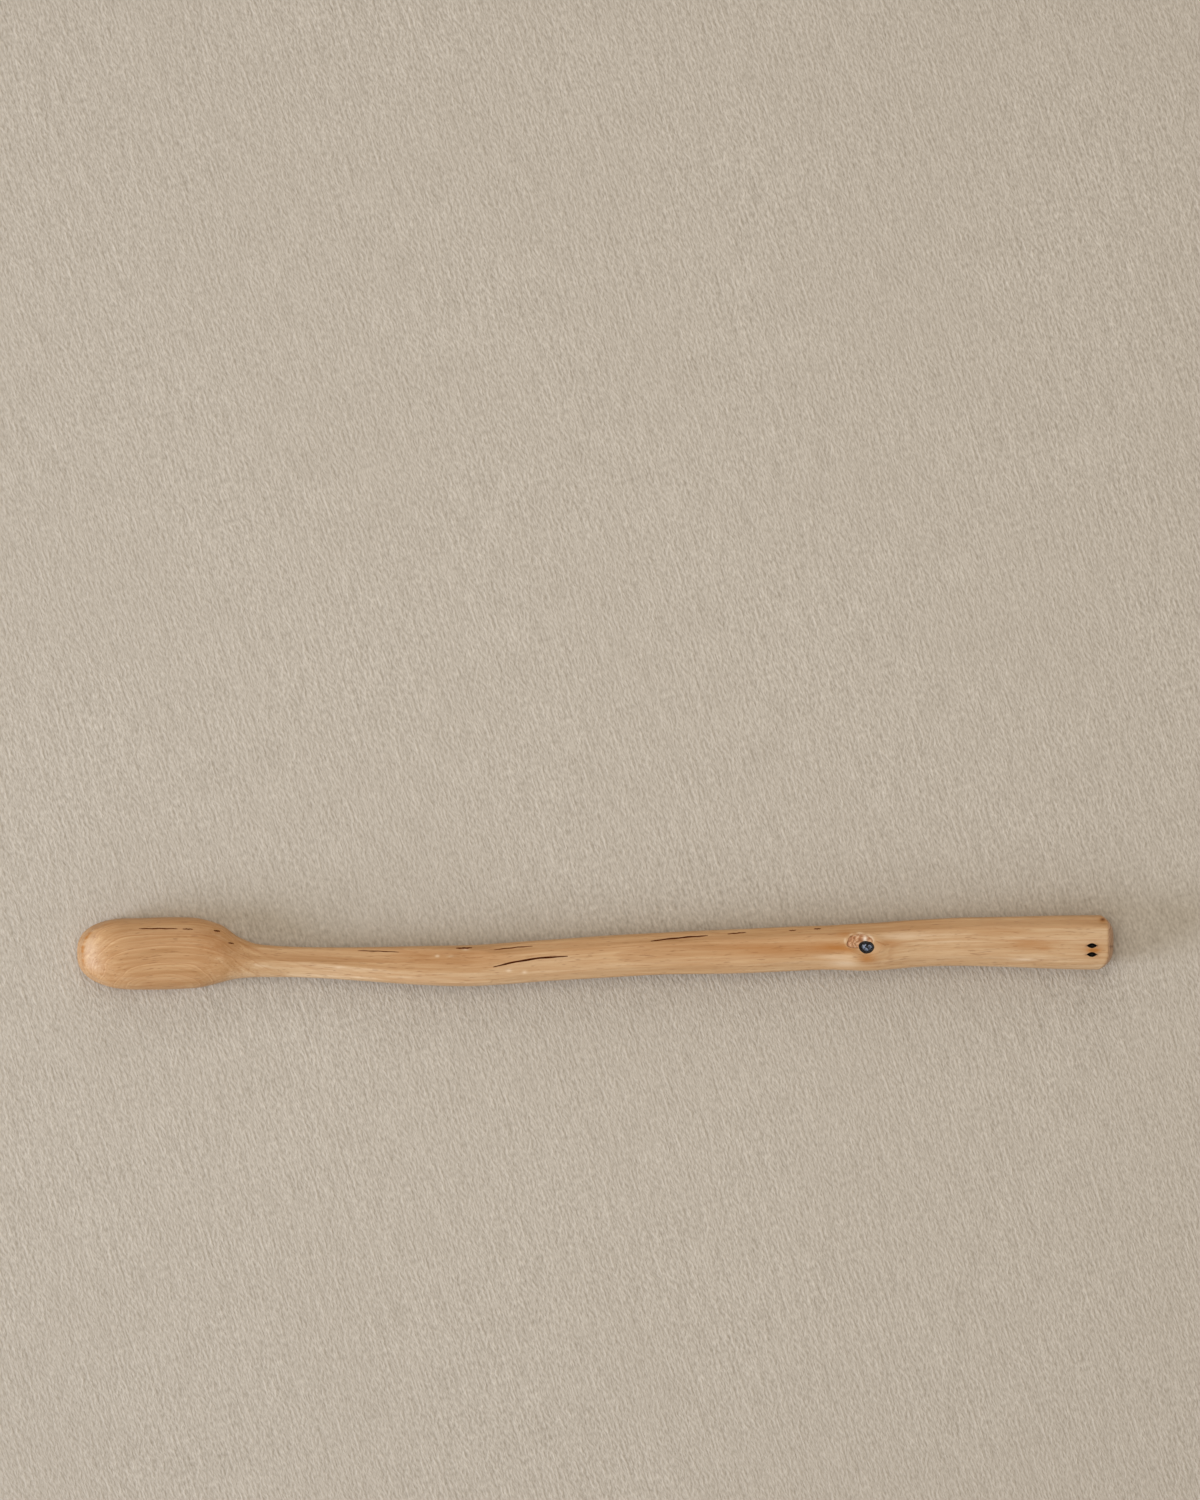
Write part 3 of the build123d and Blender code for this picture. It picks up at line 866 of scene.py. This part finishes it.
def stains_and_painted_light(points):
    """Orange-brown stains and painted shade above 0, and pale wood, painted light and a painted highlight
    below 0.
    """
    along, aside, height = points.T
    from_pocket = np.hypot((along - POCKET_AT) / POCKET_LONG, (aside - POCKET_ASIDE) / POCKET_WIDE)
    broken = 0.6 + 0.4 * np.sin(along * 3.7 + aside * 2.2)
    lip = LIP_STRENGTH * bump(from_pocket, LIP_AT, LIP_WIDTH) * broken
    pale = soft_spots(points, PALE_SPOTS_AND_LIGHT) + lip
    marks = soft_spots(points, STAINS_AND_SHADE) - pale
    return np.where(height > MARKS_ABOVE, marks, 0.0) + bevel_crease_shade(points)


def scorches_and_shade(points):
    """Dark brown marks on the end grain and the butt's corner and round the pits, and faint painted shade on
    the shoulder and at the bend.
    """
    pit_ends = {}
    for aside in PIT_ASIDES:
        for end in (-1, 1):
            pit_ends[aside, end] = (PIT_SCORCH, PIT_AT + end * PIT_LENGTH / 2, aside, *PIT_SCORCH_SPREAD)
    marks = soft_spots(points, SCORCHES_AND_SHADE | pit_ends)
    return np.where(points[:, 2] > MARKS_ABOVE, np.minimum(marks, 1.0), 0.0)


def paleness_and_lit_side(points):
    """0 on the orange side of the branch and 1 on its pale side: partly the wood's tone, partly painted
    light, paler on the lit lower side and more orange on the shaded upper side.
    """
    along, aside, _ = points.T
    edge, softness, most = table_at(TONE_AND_LIGHT_EDGE, along)
    wander = 0.12 * np.sin(along * 0.43) + 0.08 * np.sin(along * 1.1 + 1.0)
    return most * rise((edge + wander * softness - aside) / softness, -1.0, 1.0)


def grain_places(points):
    """Places in the grain, and how far it is parted at them."""
    along, aside, _ = points.T
    off, up, _, _ = section_places(points)
    knot_off = aside - KNOT_ASIDE
    away = np.hypot((along - KNOT_AT) / PARTING_STRETCH, knot_off)
    push = np.minimum(PARTING_RADIUS / np.maximum(away, PARTING_NEAREST), PARTING_MOST) ** 2
    parted = off - knot_off * push * np.exp(-away / PARTING_REACH) * PARTING_SHARE
    arch = table_at(GRAIN_ARCH, along)[0]
    return np.stack([along, parted - arch, up], axis=1), parted - off


def growth(points, parting):
    """Distance from the pith, in which the growth rings lie. Some years are wide and some narrow."""
    along, aside, height = points.T
    pith_aside, pith_height = table_at(PITH, along)
    ring = np.hypot(aside + parting - pith_aside, height - pith_height)
    to_ends = np.minimum(((along - DIP_AT) / DIP_HALF_LENGTH) ** 2, DIP_MOST)
    dip = DIP_DEPTH * to_ends * fall(aside, *DIP_ASIDE)
    ring = ring - dip * fall(along, *DIP_FADE)
    return ring + 0.28 * np.sin(ring * 1.9 + 0.6) + 0.1 * np.sin(ring * 4.3)


def write_values(mesh, name, values):
    mesh.attributes.new(name, "FLOAT", "POINT").data.foreach_set("value", values)


def add_surface_data(mesh):
    """Write the grain's own places, the growth rings, the marks with their painted highlight and shade, the
    pale side with its painted light, and the cut end.
    """
    points = points_of(mesh)
    grain, parting = grain_places(points)
    facing_end = vectors_of(mesh, "normal")[:, 0] * (points[:, 0] > BUTT_RUN_FROM)
    cut_end = rise(facing_end, *CUT_END_FACING)
    mesh.attributes.new("grain", "FLOAT_VECTOR", "POINT").data.foreach_set("vector", grain.ravel())
    write_values(mesh, "ring", growth(points, parting))
    write_values(mesh, "stain_and_light", stains_and_painted_light(points))
    write_values(mesh, "scorch_and_shade", scorches_and_shade(points))
    write_values(mesh, "pale", paleness_and_lit_side(points))
    write_values(mesh, "cut_end", cut_end)


def add_core_data(mesh):
    """Write how near the dead wood is to its dark rim, from its brightest place."""
    points = points_of(mesh)
    along = (points[:, 0] - KNOT_AT - CORE_BRIGHT_AT) / KNOT_LONG
    aside = (points[:, 1] - KNOT_ASIDE - CORE_BRIGHT_ASIDE) / KNOT_WIDE
    away = np.hypot(along, aside)
    write_values(mesh, "rim", away / away.max())


def add_ingrown_data(mesh):
    """Write the folds of the ingrown bark and the pale callus on it."""
    points = points_of(mesh)
    write_values(mesh, "fold", folds(points[:, 0], points[:, 1]))
    write_values(mesh, "callus", soft_spots(points, CALLUS_SPOTS))


# Shader nodes


def shade(red, green, blue):
    """A colour as a screen shows it, as the light that it is."""
    parts = np.array([red, green, blue]) / 255
    linear = np.where(parts > 0.04045, ((parts + 0.055) / 1.055) ** 2.4, parts / 12.92)
    return (*linear.tolist(), 1.0)


def add_node(tree, kind, values=None, **settings):
    """A node with its settings, and its inputs set to numbers or linked to sockets."""
    made = tree.nodes.new(kind)
    for key, value in settings.items():
        setattr(made, key, value)
    for key, value in (values or {}).items():
        if isinstance(value, bpy.types.NodeSocket):
            tree.links.new(value, made.inputs[key])
        else:
            made.inputs[key].default_value = value
    return made


def math_node(tree, operation, first, second=0.0, third=0.0):
    return add_node(tree, "ShaderNodeMath", {0: first, 1: second, 2: third}, operation=operation).outputs[0]


def stretched(tree, vector, along, across):
    """A vector squeezed along the grain, so that a texture on it is drawn out."""
    values = {0: vector, 1: (along, across, across)}
    return add_node(tree, "ShaderNodeVectorMath", values, operation="MULTIPLY").outputs[0]


def noise(tree, vector, scale=1.0, detail=3.0, roughness=0.5, distortion=0.0):
    values = {"Vector": vector, "Scale": scale, "Detail": detail, "Roughness": roughness}
    values["Distortion"] = distortion
    return add_node(tree, "ShaderNodeTexNoise", values).outputs[0]


def ramp(tree, factor, stops):
    """Colours along a ramp, from pairs of place and colour as a screen shows it."""
    made = add_node(tree, "ShaderNodeValToRGB", {0: factor})
    elements = made.color_ramp.elements
    while len(elements) < len(stops):
        elements.new(0.5)
    for element, (place, colour) in zip(elements, stops):
        element.position = place
        element.color = shade(*colour)
    return made.outputs[0]


def grey_ramp(tree, factor, stops):
    """Greys along a ramp, from pairs of place and brightness from 0 to 255."""
    return ramp(tree, factor, [(place, (bright, bright, bright)) for place, bright in stops])


def spread(tree, value, low, high, to_low=0.0, to_high=1.0):
    """A value's range stretched to another range."""
    values = {0: value, 1: low, 2: high, 3: to_low, 4: to_high}
    return add_node(tree, "ShaderNodeMapRange", values).outputs[0]


def mixed(tree, factor, first, second):
    values = {0: factor, 6: first, 7: second}
    return add_node(tree, "ShaderNodeMix", values, data_type="RGBA", blend_type="MIX").outputs[2]


def attribute(tree, name, output="Fac"):
    return add_node(tree, "ShaderNodeAttribute", attribute_name=name).outputs[output]


def bumped(tree, height, depth):
    """A normal from a height, for relief that deep in millimetres."""
    return add_node(tree, "ShaderNodeBump", {"Height": height, "Distance": depth * MM}).outputs[0]


def object_place(tree):
    return add_node(tree, "ShaderNodeTexCoord").outputs["Object"]


def new_material(name):
    made = bpy.data.materials.new(name)
    made.use_nodes = True
    return made, made.node_tree, made.node_tree.nodes["Principled BSDF"]


# The carved wood

# Tones along the streaks of the orange side and of the pale side, which paint shade on the upper side and
# light on the lower side over the wood's own tones, and on the cut end
ORANGE_AND_SHADED_TONES = (
    (0.28, (164, 122, 76)), (0.44, (186, 146, 102)), (0.58, (194, 156, 113)), (0.74, (206, 173, 132)),
)
PALE_AND_LIT_TONES = (
    (0.28, (189, 155, 115)), (0.44, (202, 170, 131)), (0.58, (208, 179, 142)), (0.74, (217, 192, 160)),
)
END_TONES = ((0.05, (199, 162, 131)), (0.3, (184, 146, 115)), (0.55, (158, 119, 91)))

# Colours that are laid over the tones
OVERLAYS = {
    "late wood": (163, 112, 66),
    "early wood": (224, 186, 140),
    "fine late wood": (172, 122, 76),
    "strand": (172, 125, 80),
    "fibre": (176, 129, 84),
    "pore": (138, 90, 52),
    # the stain colour also paints shade on the shoulder, at the bend and in the bevel's crease
    "stain_and_light": (168, 109, 46),
    # the pale spot colour also paints the highlight on the tip and the light on the top of the butt
    "pale spot and highlight": (226, 202, 172),
    # the scorch colour also paints faint shade on the shoulder and at the bend
    "scorch_and_shade": (84, 40, 14),
}

# How strong the late and the early wood are over a year, from 0 to 255
LATE_WOOD = ((0.0, 0), (0.5, 20), (0.84, 130), (0.95, 255), (1.0, 0))
EARLY_WOOD = ((0.0, 255), (0.16, 90), (0.34, 0))

# Widths of a year, of the fine rings between them on the bowl and of the rings on the cut end
YEAR_WIDTH = 1.35
FINE_RING_WIDTH = 0.42
END_RING_WIDTH = 0.62

# Textures in the grain: how often they change in a millimetre along it and across it
TEXTURES = {
    "streak": (0.04, 1.1),
    "wavering": (0.025, 0.3),
    "strand": (0.11, 2.6),
    "fibre": (0.22, 7.0),
    "pore": (0.5, 5.5),
    "end speck": (3.0, 6.0),
}

# Places along between which the bowl's clear rings give way to the handle's faint ones, and the wood's
# roughness on and off its fibres, sheen, and depth of relief
BOWL_RINGS_FADE = (22.0, 36.0)
WOOD_ROUGHNESS = (0.42, 0.56)
WOOD_SHEEN = 0.34
WOOD_RELIEF = 0.025


def texture(tree, grain, name, **settings):
    """A noise that is drawn out along the grain."""
    return noise(tree, stretched(tree, grain, *TEXTURES[name]), **settings)


def overlaid(tree, factor, colour, name):
    """A colour with one of the wood's other colours laid over it."""
    return mixed(tree, factor, colour, shade(*OVERLAYS[name]))


def ring_share(tree, ring, wavering, width):
    """How far through its ring a place lies, from 0 to 1, for rings of that width."""
    turns = math_node(tree, "ADD", math_node(tree, "DIVIDE", ring, width), wavering)
    return math_node(tree, "FRACT", turns)


def add_rings(tree, colour, ring, wavering, bowl_share):
    """Dark late wood and pale early wood in each year, and fine rings between them on the bowl."""
    year = ring_share(tree, ring, wavering, YEAR_WIDTH)
    late_clearness = spread(tree, bowl_share, 0.0, 1.0, 0.3, 0.55)
    early_clearness = spread(tree, bowl_share, 0.0, 1.0, 0.1, 0.38)
    late = math_node(tree, "MULTIPLY", grey_ramp(tree, year, LATE_WOOD), late_clearness)
    early = math_node(tree, "MULTIPLY", grey_ramp(tree, year, EARLY_WOOD), early_clearness)
    colour = overlaid(tree, late, colour, "late wood")
    colour = overlaid(tree, early, colour, "early wood")
    fine = spread(tree, ring_share(tree, ring, wavering, FINE_RING_WIDTH), 0.45, 1.0, 0.0, 0.42)
    return overlaid(tree, math_node(tree, "MULTIPLY", fine, bowl_share), colour, "fine late wood")


def add_fibres(tree, colour, grain):
    """Strands, fibres and pores: the colour with them, the fibres, and the relief of all three."""
    strand = texture(tree, grain, "strand", detail=4.0, roughness=0.6)
    colour = overlaid(tree, spread(tree, strand, 0.42, 0.7, 0.0, 0.5), colour, "strand")
    fibre = texture(tree, grain, "fibre", detail=4.0)
    colour = overlaid(tree, spread(tree, fibre, 0.35, 0.65, 0.0, 0.36), colour, "fibre")
    pores = spread(tree, texture(tree, grain, "pore", detail=1.0), 0.64, 0.73)
    colour = overlaid(tree, math_node(tree, "MULTIPLY", pores, 0.5), colour, "pore")
    relief = math_node(tree, "SUBTRACT", math_node(tree, "ADD", fibre, strand), pores)
    return colour, fibre, relief


def add_stains_and_painted_light(tree, colour, streak):
    """Stains and painted shade, patchy along the streaks, and pale spots with painted light and a painted
    highlight.
    """
    stain_and_light = attribute(tree, "stain_and_light")
    patchy = spread(tree, streak, 0.3, 0.65, 1.15, 0.7)
    brown_and_shade = math_node(tree, "MULTIPLY", math_node(tree, "MAXIMUM", stain_and_light, 0.0), patchy)
    pale = math_node(tree, "MAXIMUM", math_node(tree, "MULTIPLY", stain_and_light, -1.0), 0.0)
    colour = overlaid(tree, brown_and_shade, colour, "stain_and_light")
    return overlaid(tree, pale, colour, "pale spot and highlight")


def add_cut_end(tree, colour, grain, ring, wavering):
    """The specked rings of the butt's end grain."""
    speck = texture(tree, grain, "end speck", detail=3.0)
    mark = math_node(tree, "MULTIPLY", ring_share(tree, ring, wavering, END_RING_WIDTH), speck)
    return mixed(tree, attribute(tree, "cut_end"), colour, ramp(tree, mark, END_TONES))


def carved_wood():
    """Smooth carved wood: long streaks, growth rings, fibres, pores, knot stains and the cut end, with
    painted light: a paler lit side, a more orange shaded side, a painted highlight and painted shade.
    """
    material, tree, shader = new_material("carved_wood")
    grain = attribute(tree, "grain", "Vector")
    ring = attribute(tree, "ring")
    along = add_node(tree, "ShaderNodeSeparateXYZ", {0: grain}).outputs[0]
    bowl_share = spread(tree, along, *BOWL_RINGS_FADE, 1.0, 0.0)
    streak = texture(tree, grain, "streak", detail=5.0, distortion=0.4)
    wavering = texture(tree, grain, "wavering", detail=2.0)
    orange_shaded_side = ramp(tree, streak, ORANGE_AND_SHADED_TONES)
    pale_lit_side = ramp(tree, streak, PALE_AND_LIT_TONES)
    # painted light and shade: the pale, lit lower side mixed with the orange, shaded upper side
    colour = mixed(tree, attribute(tree, "pale"), orange_shaded_side, pale_lit_side)
    colour = add_rings(tree, colour, ring, wavering, bowl_share)
    colour, fibre, relief = add_fibres(tree, colour, grain)
    colour = add_stains_and_painted_light(tree, colour, streak)
    colour = add_cut_end(tree, colour, grain, ring, wavering)
    colour = overlaid(tree, attribute(tree, "scorch_and_shade"), colour, "scorch_and_shade")
    tree.links.new(colour, shader.inputs["Base Color"])
    tree.links.new(spread(tree, fibre, 0.3, 0.7, *WOOD_ROUGHNESS), shader.inputs["Roughness"])
    tree.links.new(bumped(tree, relief, WOOD_RELIEF), shader.inputs["Normal"])
    shader.inputs["Specular IOR Level"].default_value = WOOD_SHEEN
    return material


# Split, charred and dead wood, and bark


def crumbled_group():
    """Matter that is crumbled and uneven: broad patches, fine specks, and the relief that both give."""
    group = bpy.data.node_groups.new("crumbled", "ShaderNodeTree")
    group.interface.new_socket("Vector", in_out="INPUT", socket_type="NodeSocketVector")
    for name in ("Patch Scale", "Speck Scale"):
        group.interface.new_socket(name, in_out="INPUT", socket_type="NodeSocketFloat")
    for name in ("Patch", "Speck", "Height"):
        group.interface.new_socket(name, in_out="OUTPUT", socket_type="NodeSocketFloat")
    taken = group.nodes.new("NodeGroupInput").outputs
    given = group.nodes.new("NodeGroupOutput").inputs
    patch = noise(group, taken["Vector"], scale=taken["Patch Scale"], detail=4.0, distortion=1.0)
    speck = noise(group, taken["Vector"], scale=taken["Speck Scale"], detail=2.0)
    group.links.new(patch, given["Patch"])
    group.links.new(speck, given["Speck"])
    group.links.new(math_node(group, "ADD", patch, speck), given["Height"])
    return group


CRUMBLED = crumbled_group()


def rough_matter(name, tones, speck, speck_share, patch_size, speck_size, relief):
    """A dull, crumbled material: tones by patch, specks over them, and relief, sized in millimetres."""
    material, tree, shader = new_material(name)
    scales = {"Patch Scale": 1 / (patch_size * MM), "Speck Scale": 1 / (speck_size * MM)}
    values = {"Vector": object_place(tree), **scales}
    matter = add_node(tree, "ShaderNodeGroup", values, node_tree=CRUMBLED).outputs
    specks = spread(tree, matter["Speck"], 0.56, 0.7, 0.0, speck_share)
    colour = mixed(tree, specks, ramp(tree, matter["Patch"], tones), shade(*speck))
    tree.links.new(colour, shader.inputs["Base Color"])
    tree.links.new(spread(tree, matter["Patch"], 0.3, 0.7, 0.85, 0.6), shader.inputs["Roughness"])
    tree.links.new(bumped(tree, matter["Height"], relief), shader.inputs["Normal"])
    return material, tree, shader, colour


def split_wood():
    """The dark brown inside of the drying checks."""
    tones = ((0.35, (90, 38, 8)), (0.65, (122, 58, 16)))
    sizes = {"patch_size": 0.5, "speck_size": 0.16, "relief": 0.02}
    material, _, shader, _ = rough_matter("split_wood", tones, (62, 26, 6), 0.35, **sizes)
    shader.inputs["Specular IOR Level"].default_value = 0.1
    return material


def charred_wood():
    """The black inside of the pits and of the knot's socket."""
    tones = ((0.35, (9, 6, 4)), (0.7, (36, 22, 13)))
    sizes = {"patch_size": 0.45, "speck_size": 0.2, "relief": 0.05}
    return rough_matter("charred_wood", tones, (60, 36, 20), 0.3, **sizes)[0]


def dead_heartwood():
    """Grey, weathered end grain, broken by dark cracks and dark round its rim."""
    tones = ((0.38, (14, 12, 13)), (0.46, (64, 70, 84)), (0.54, (140, 152, 176)), (0.66, (208, 218, 232)))
    sizes = {"patch_size": 0.75, "speck_size": 0.2, "relief": 0.06}
    material, tree, shader, colour = rough_matter("dead_heartwood", tones, (40, 36, 36), 0.35, **sizes)
    rim = spread(tree, attribute(tree, "rim"), 0.6, 0.96)
    tree.links.new(mixed(tree, rim, colour, shade(12, 10, 9)), shader.inputs["Base Color"])
    return material


def knot_bark_material():
    """Black, crusted bark."""
    tones = ((0.35, (12, 9, 8)), (0.62, (32, 22, 17)), (0.8, (84, 56, 40)))
    sizes = {"patch_size": 0.4, "speck_size": 0.15, "relief": 0.08}
    return rough_matter("knot_bark", tones, (58, 40, 30), 0.3, **sizes)[0]


def ingrown_bark_material():
    """Reddish-brown bark in folds, with pale callus on them above the knot."""
    tones = ((0.34, (168, 116, 76)), (0.5, (190, 142, 102)), (0.68, (220, 186, 152)))
    sizes = {"patch_size": 0.9, "speck_size": 0.26, "relief": 0.04}
    material, tree, shader, colour = rough_matter("ingrown_bark", tones, (128, 76, 48), 0.5, **sizes)
    furrow = spread(tree, attribute(tree, "fold"), -0.9, 0.2, 0.38, 0.0)
    colour = mixed(tree, furrow, colour, shade(132, 80, 46))
    colour = mixed(tree, attribute(tree, "callus"), colour, shade(244, 228, 208))
    tree.links.new(colour, shader.inputs["Base Color"])
    return material


# The scoop's pieces

SHARP_EDGE = radians(36)
WOOD_INDEX = 0
SPLIT_INDEX = 1
CHAR_INDEX = 2


def finished(piece, node):
    """Dress a piece that stands for a CAD node."""
    piece.data.shade_smooth()
    piece.data.set_sharp_from_angle(angle=SHARP_EDGE)
    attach(piece, "root")
    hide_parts(node)


body = carved_body()
surface = surface_finder(body)
body.data.materials.append(carved_wood())
body.data.materials.append(split_wood())
body.data.materials.append(charred_wood())
checks = [check_tool(surface, *values) for values in CHECKS.values()]
pits = [pit_tool(surface, PIT_AT, aside) for aside in PIT_ASIDES]
pocket = upright_tool(pocket_outline(KNOT_TURN, 0.0), surface, POCKET_DEPTH)
cut_away(body, skinned("splits", checks, SPLIT_INDEX))
cut_away(body, skinned("burns", pits + [socket_tool(surface)], CHAR_INDEX))
cut_away(body, skinned("pocket", [pocket], WOOD_INDEX))
add_surface_data(body.data)
finished(body, "scoop_body")

core = knot_core(surface)
add_core_data(core.data)
core.data.materials.append(dead_heartwood())
finished(core, "knot_core")

bark = knot_bark(surface)
bark.data.materials.append(knot_bark_material())
finished(bark, "knot_bark_ring")

ingrown = ingrown_bark(surface)
add_ingrown_data(ingrown.data)
ingrown.data.materials.append(ingrown_bark_material())
finished(ingrown, "ingrown_bark")


# Floor, light and camera

# Half the floor's width in metres, and how far it lies under the scoop
FLOOR_REACH = 1.5
FLOOR_GAP = 0.02

# The floor's plaster: turn of its brush strokes, how often they, its grit and its broad patches change
# in a metre, how strong the strokes are against the grit, and depth of its relief
BRUSH_TURN = radians(72.0)
STROKE_SCALE = 1500.0
GRIT_SCALE = 2300.0
PATCH_SCALE = 28.0
STROKE_SHARE = 0.55
PLASTER_RELIEF = 0.26

# Round lamps that shine on the scoop: place, size, power and colour
LAMPS = {
    "window": ((-1.25, -0.36, 0.42), 0.65, 16.3, (0.88, 0.98, 1.16)),
    "overhead": ((0.0, 0.05, 0.42), 0.4, 0.64, (1.0, 0.96, 0.88)),
    "front": ((-0.3, -1.4, 0.6), 1.0, 3.0, (0.92, 0.98, 1.06)),
    "back": ((0.0, 1.3, 0.8), 1.1, 4.5, (0.98, 0.98, 0.98)),
}
ROOM_COLOUR = (1.0, 0.88, 0.72, 1)
ROOM_LIGHT = 0.42

# The photograph looks straight down: height of its frame at the scoop, and middle of its view. The
# camera stands far above this level, so that the scoop shows without perspective
FRAME_HEIGHT = 260.3
VIEW_CENTRE = (0.9, 35.17)
VIEW_LEVEL = 4.0
CAMERA_HEIGHT = 5000.0
SENSOR_HEIGHT = 36.0


def plaster():
    """Pale plaster that was brushed on, with fine grit in it."""
    tones = ((0.3, (160, 150, 136)), (0.7, (205, 196, 183)))
    patch_tone = shade(180, 170, 156)
    material, tree, shader = new_material("plaster")
    place = object_place(tree)
    turn = {"Vector": place, "Rotation": (0.0, 0.0, BRUSH_TURN)}
    brushed = add_node(tree, "ShaderNodeMapping", turn).outputs[0]
    drawn_out = stretched(tree, brushed, 0.1, 1.0)
    strokes = noise(tree, drawn_out, scale=STROKE_SCALE, detail=3.0, distortion=0.4)
    grit = noise(tree, stretched(tree, brushed, 0.5, 1.0), scale=GRIT_SCALE, detail=2.0)
    rough = math_node(tree, "MULTIPLY_ADD", strokes, STROKE_SHARE, grit)
    rough = spread(tree, rough, 0.0, 1 + STROKE_SHARE)
    patches = spread(tree, noise(tree, place, scale=PATCH_SCALE, detail=3.0), 0.35, 0.65, 0.0, 0.3)
    colour = mixed(tree, patches, ramp(tree, rough, tones), patch_tone)
    tree.links.new(colour, shader.inputs["Base Color"])
    tree.links.new(bumped(tree, rough, PLASTER_RELIEF), shader.inputs["Normal"])
    shader.inputs["Roughness"].default_value = 0.9
    return material


def floor():
    """A wide flat floor, just under the scoop."""
    made = bmesh.new()
    bmesh.ops.create_grid(made, x_segments=1, y_segments=1, size=FLOOR_REACH)
    bmesh.ops.translate(made, verts=made.verts, vec=(0.0, 0.0, -FLOOR_GAP * MM))
    obj = object_from("floor", made)
    obj.data.materials.append(plaster())


def lamp(name, place, size, power, colour):
    data = bpy.data.lights.new(name, "AREA")
    data.shape = "DISK"
    data.size = size
    data.energy = power
    data.color = colour
    obj = bpy.data.objects.new(name, data)
    obj.location = place
    obj.rotation_euler = (Vector() - Vector(place)).to_track_quat("-Z", "Y").to_euler()
    bpy.context.collection.objects.link(obj)


def studio():
    for name, values in LAMPS.items():
        lamp(name, *values)
    world = bpy.data.worlds.new("studio")
    world.use_nodes = True
    room = world.node_tree.nodes["Background"].inputs
    room["Color"].default_value = ROOM_COLOUR
    room["Strength"].default_value = ROOM_LIGHT
    bpy.context.scene.world = world
    bpy.context.scene.view_settings.view_transform = "Standard"


def camera():
    data = bpy.data.cameras.new("camera")
    data.sensor_fit = "VERTICAL"
    data.sensor_height = SENSOR_HEIGHT
    data.lens = SENSOR_HEIGHT * CAMERA_HEIGHT / FRAME_HEIGHT
    data.clip_start = 0.01
    obj = bpy.data.objects.new("camera", data)
    obj.location = (VIEW_CENTRE[0] * MM, VIEW_CENTRE[1] * MM, (CAMERA_HEIGHT + VIEW_LEVEL) * MM)
    bpy.context.collection.objects.link(obj)
    bpy.context.scene.camera = obj


floor()
studio()
camera()
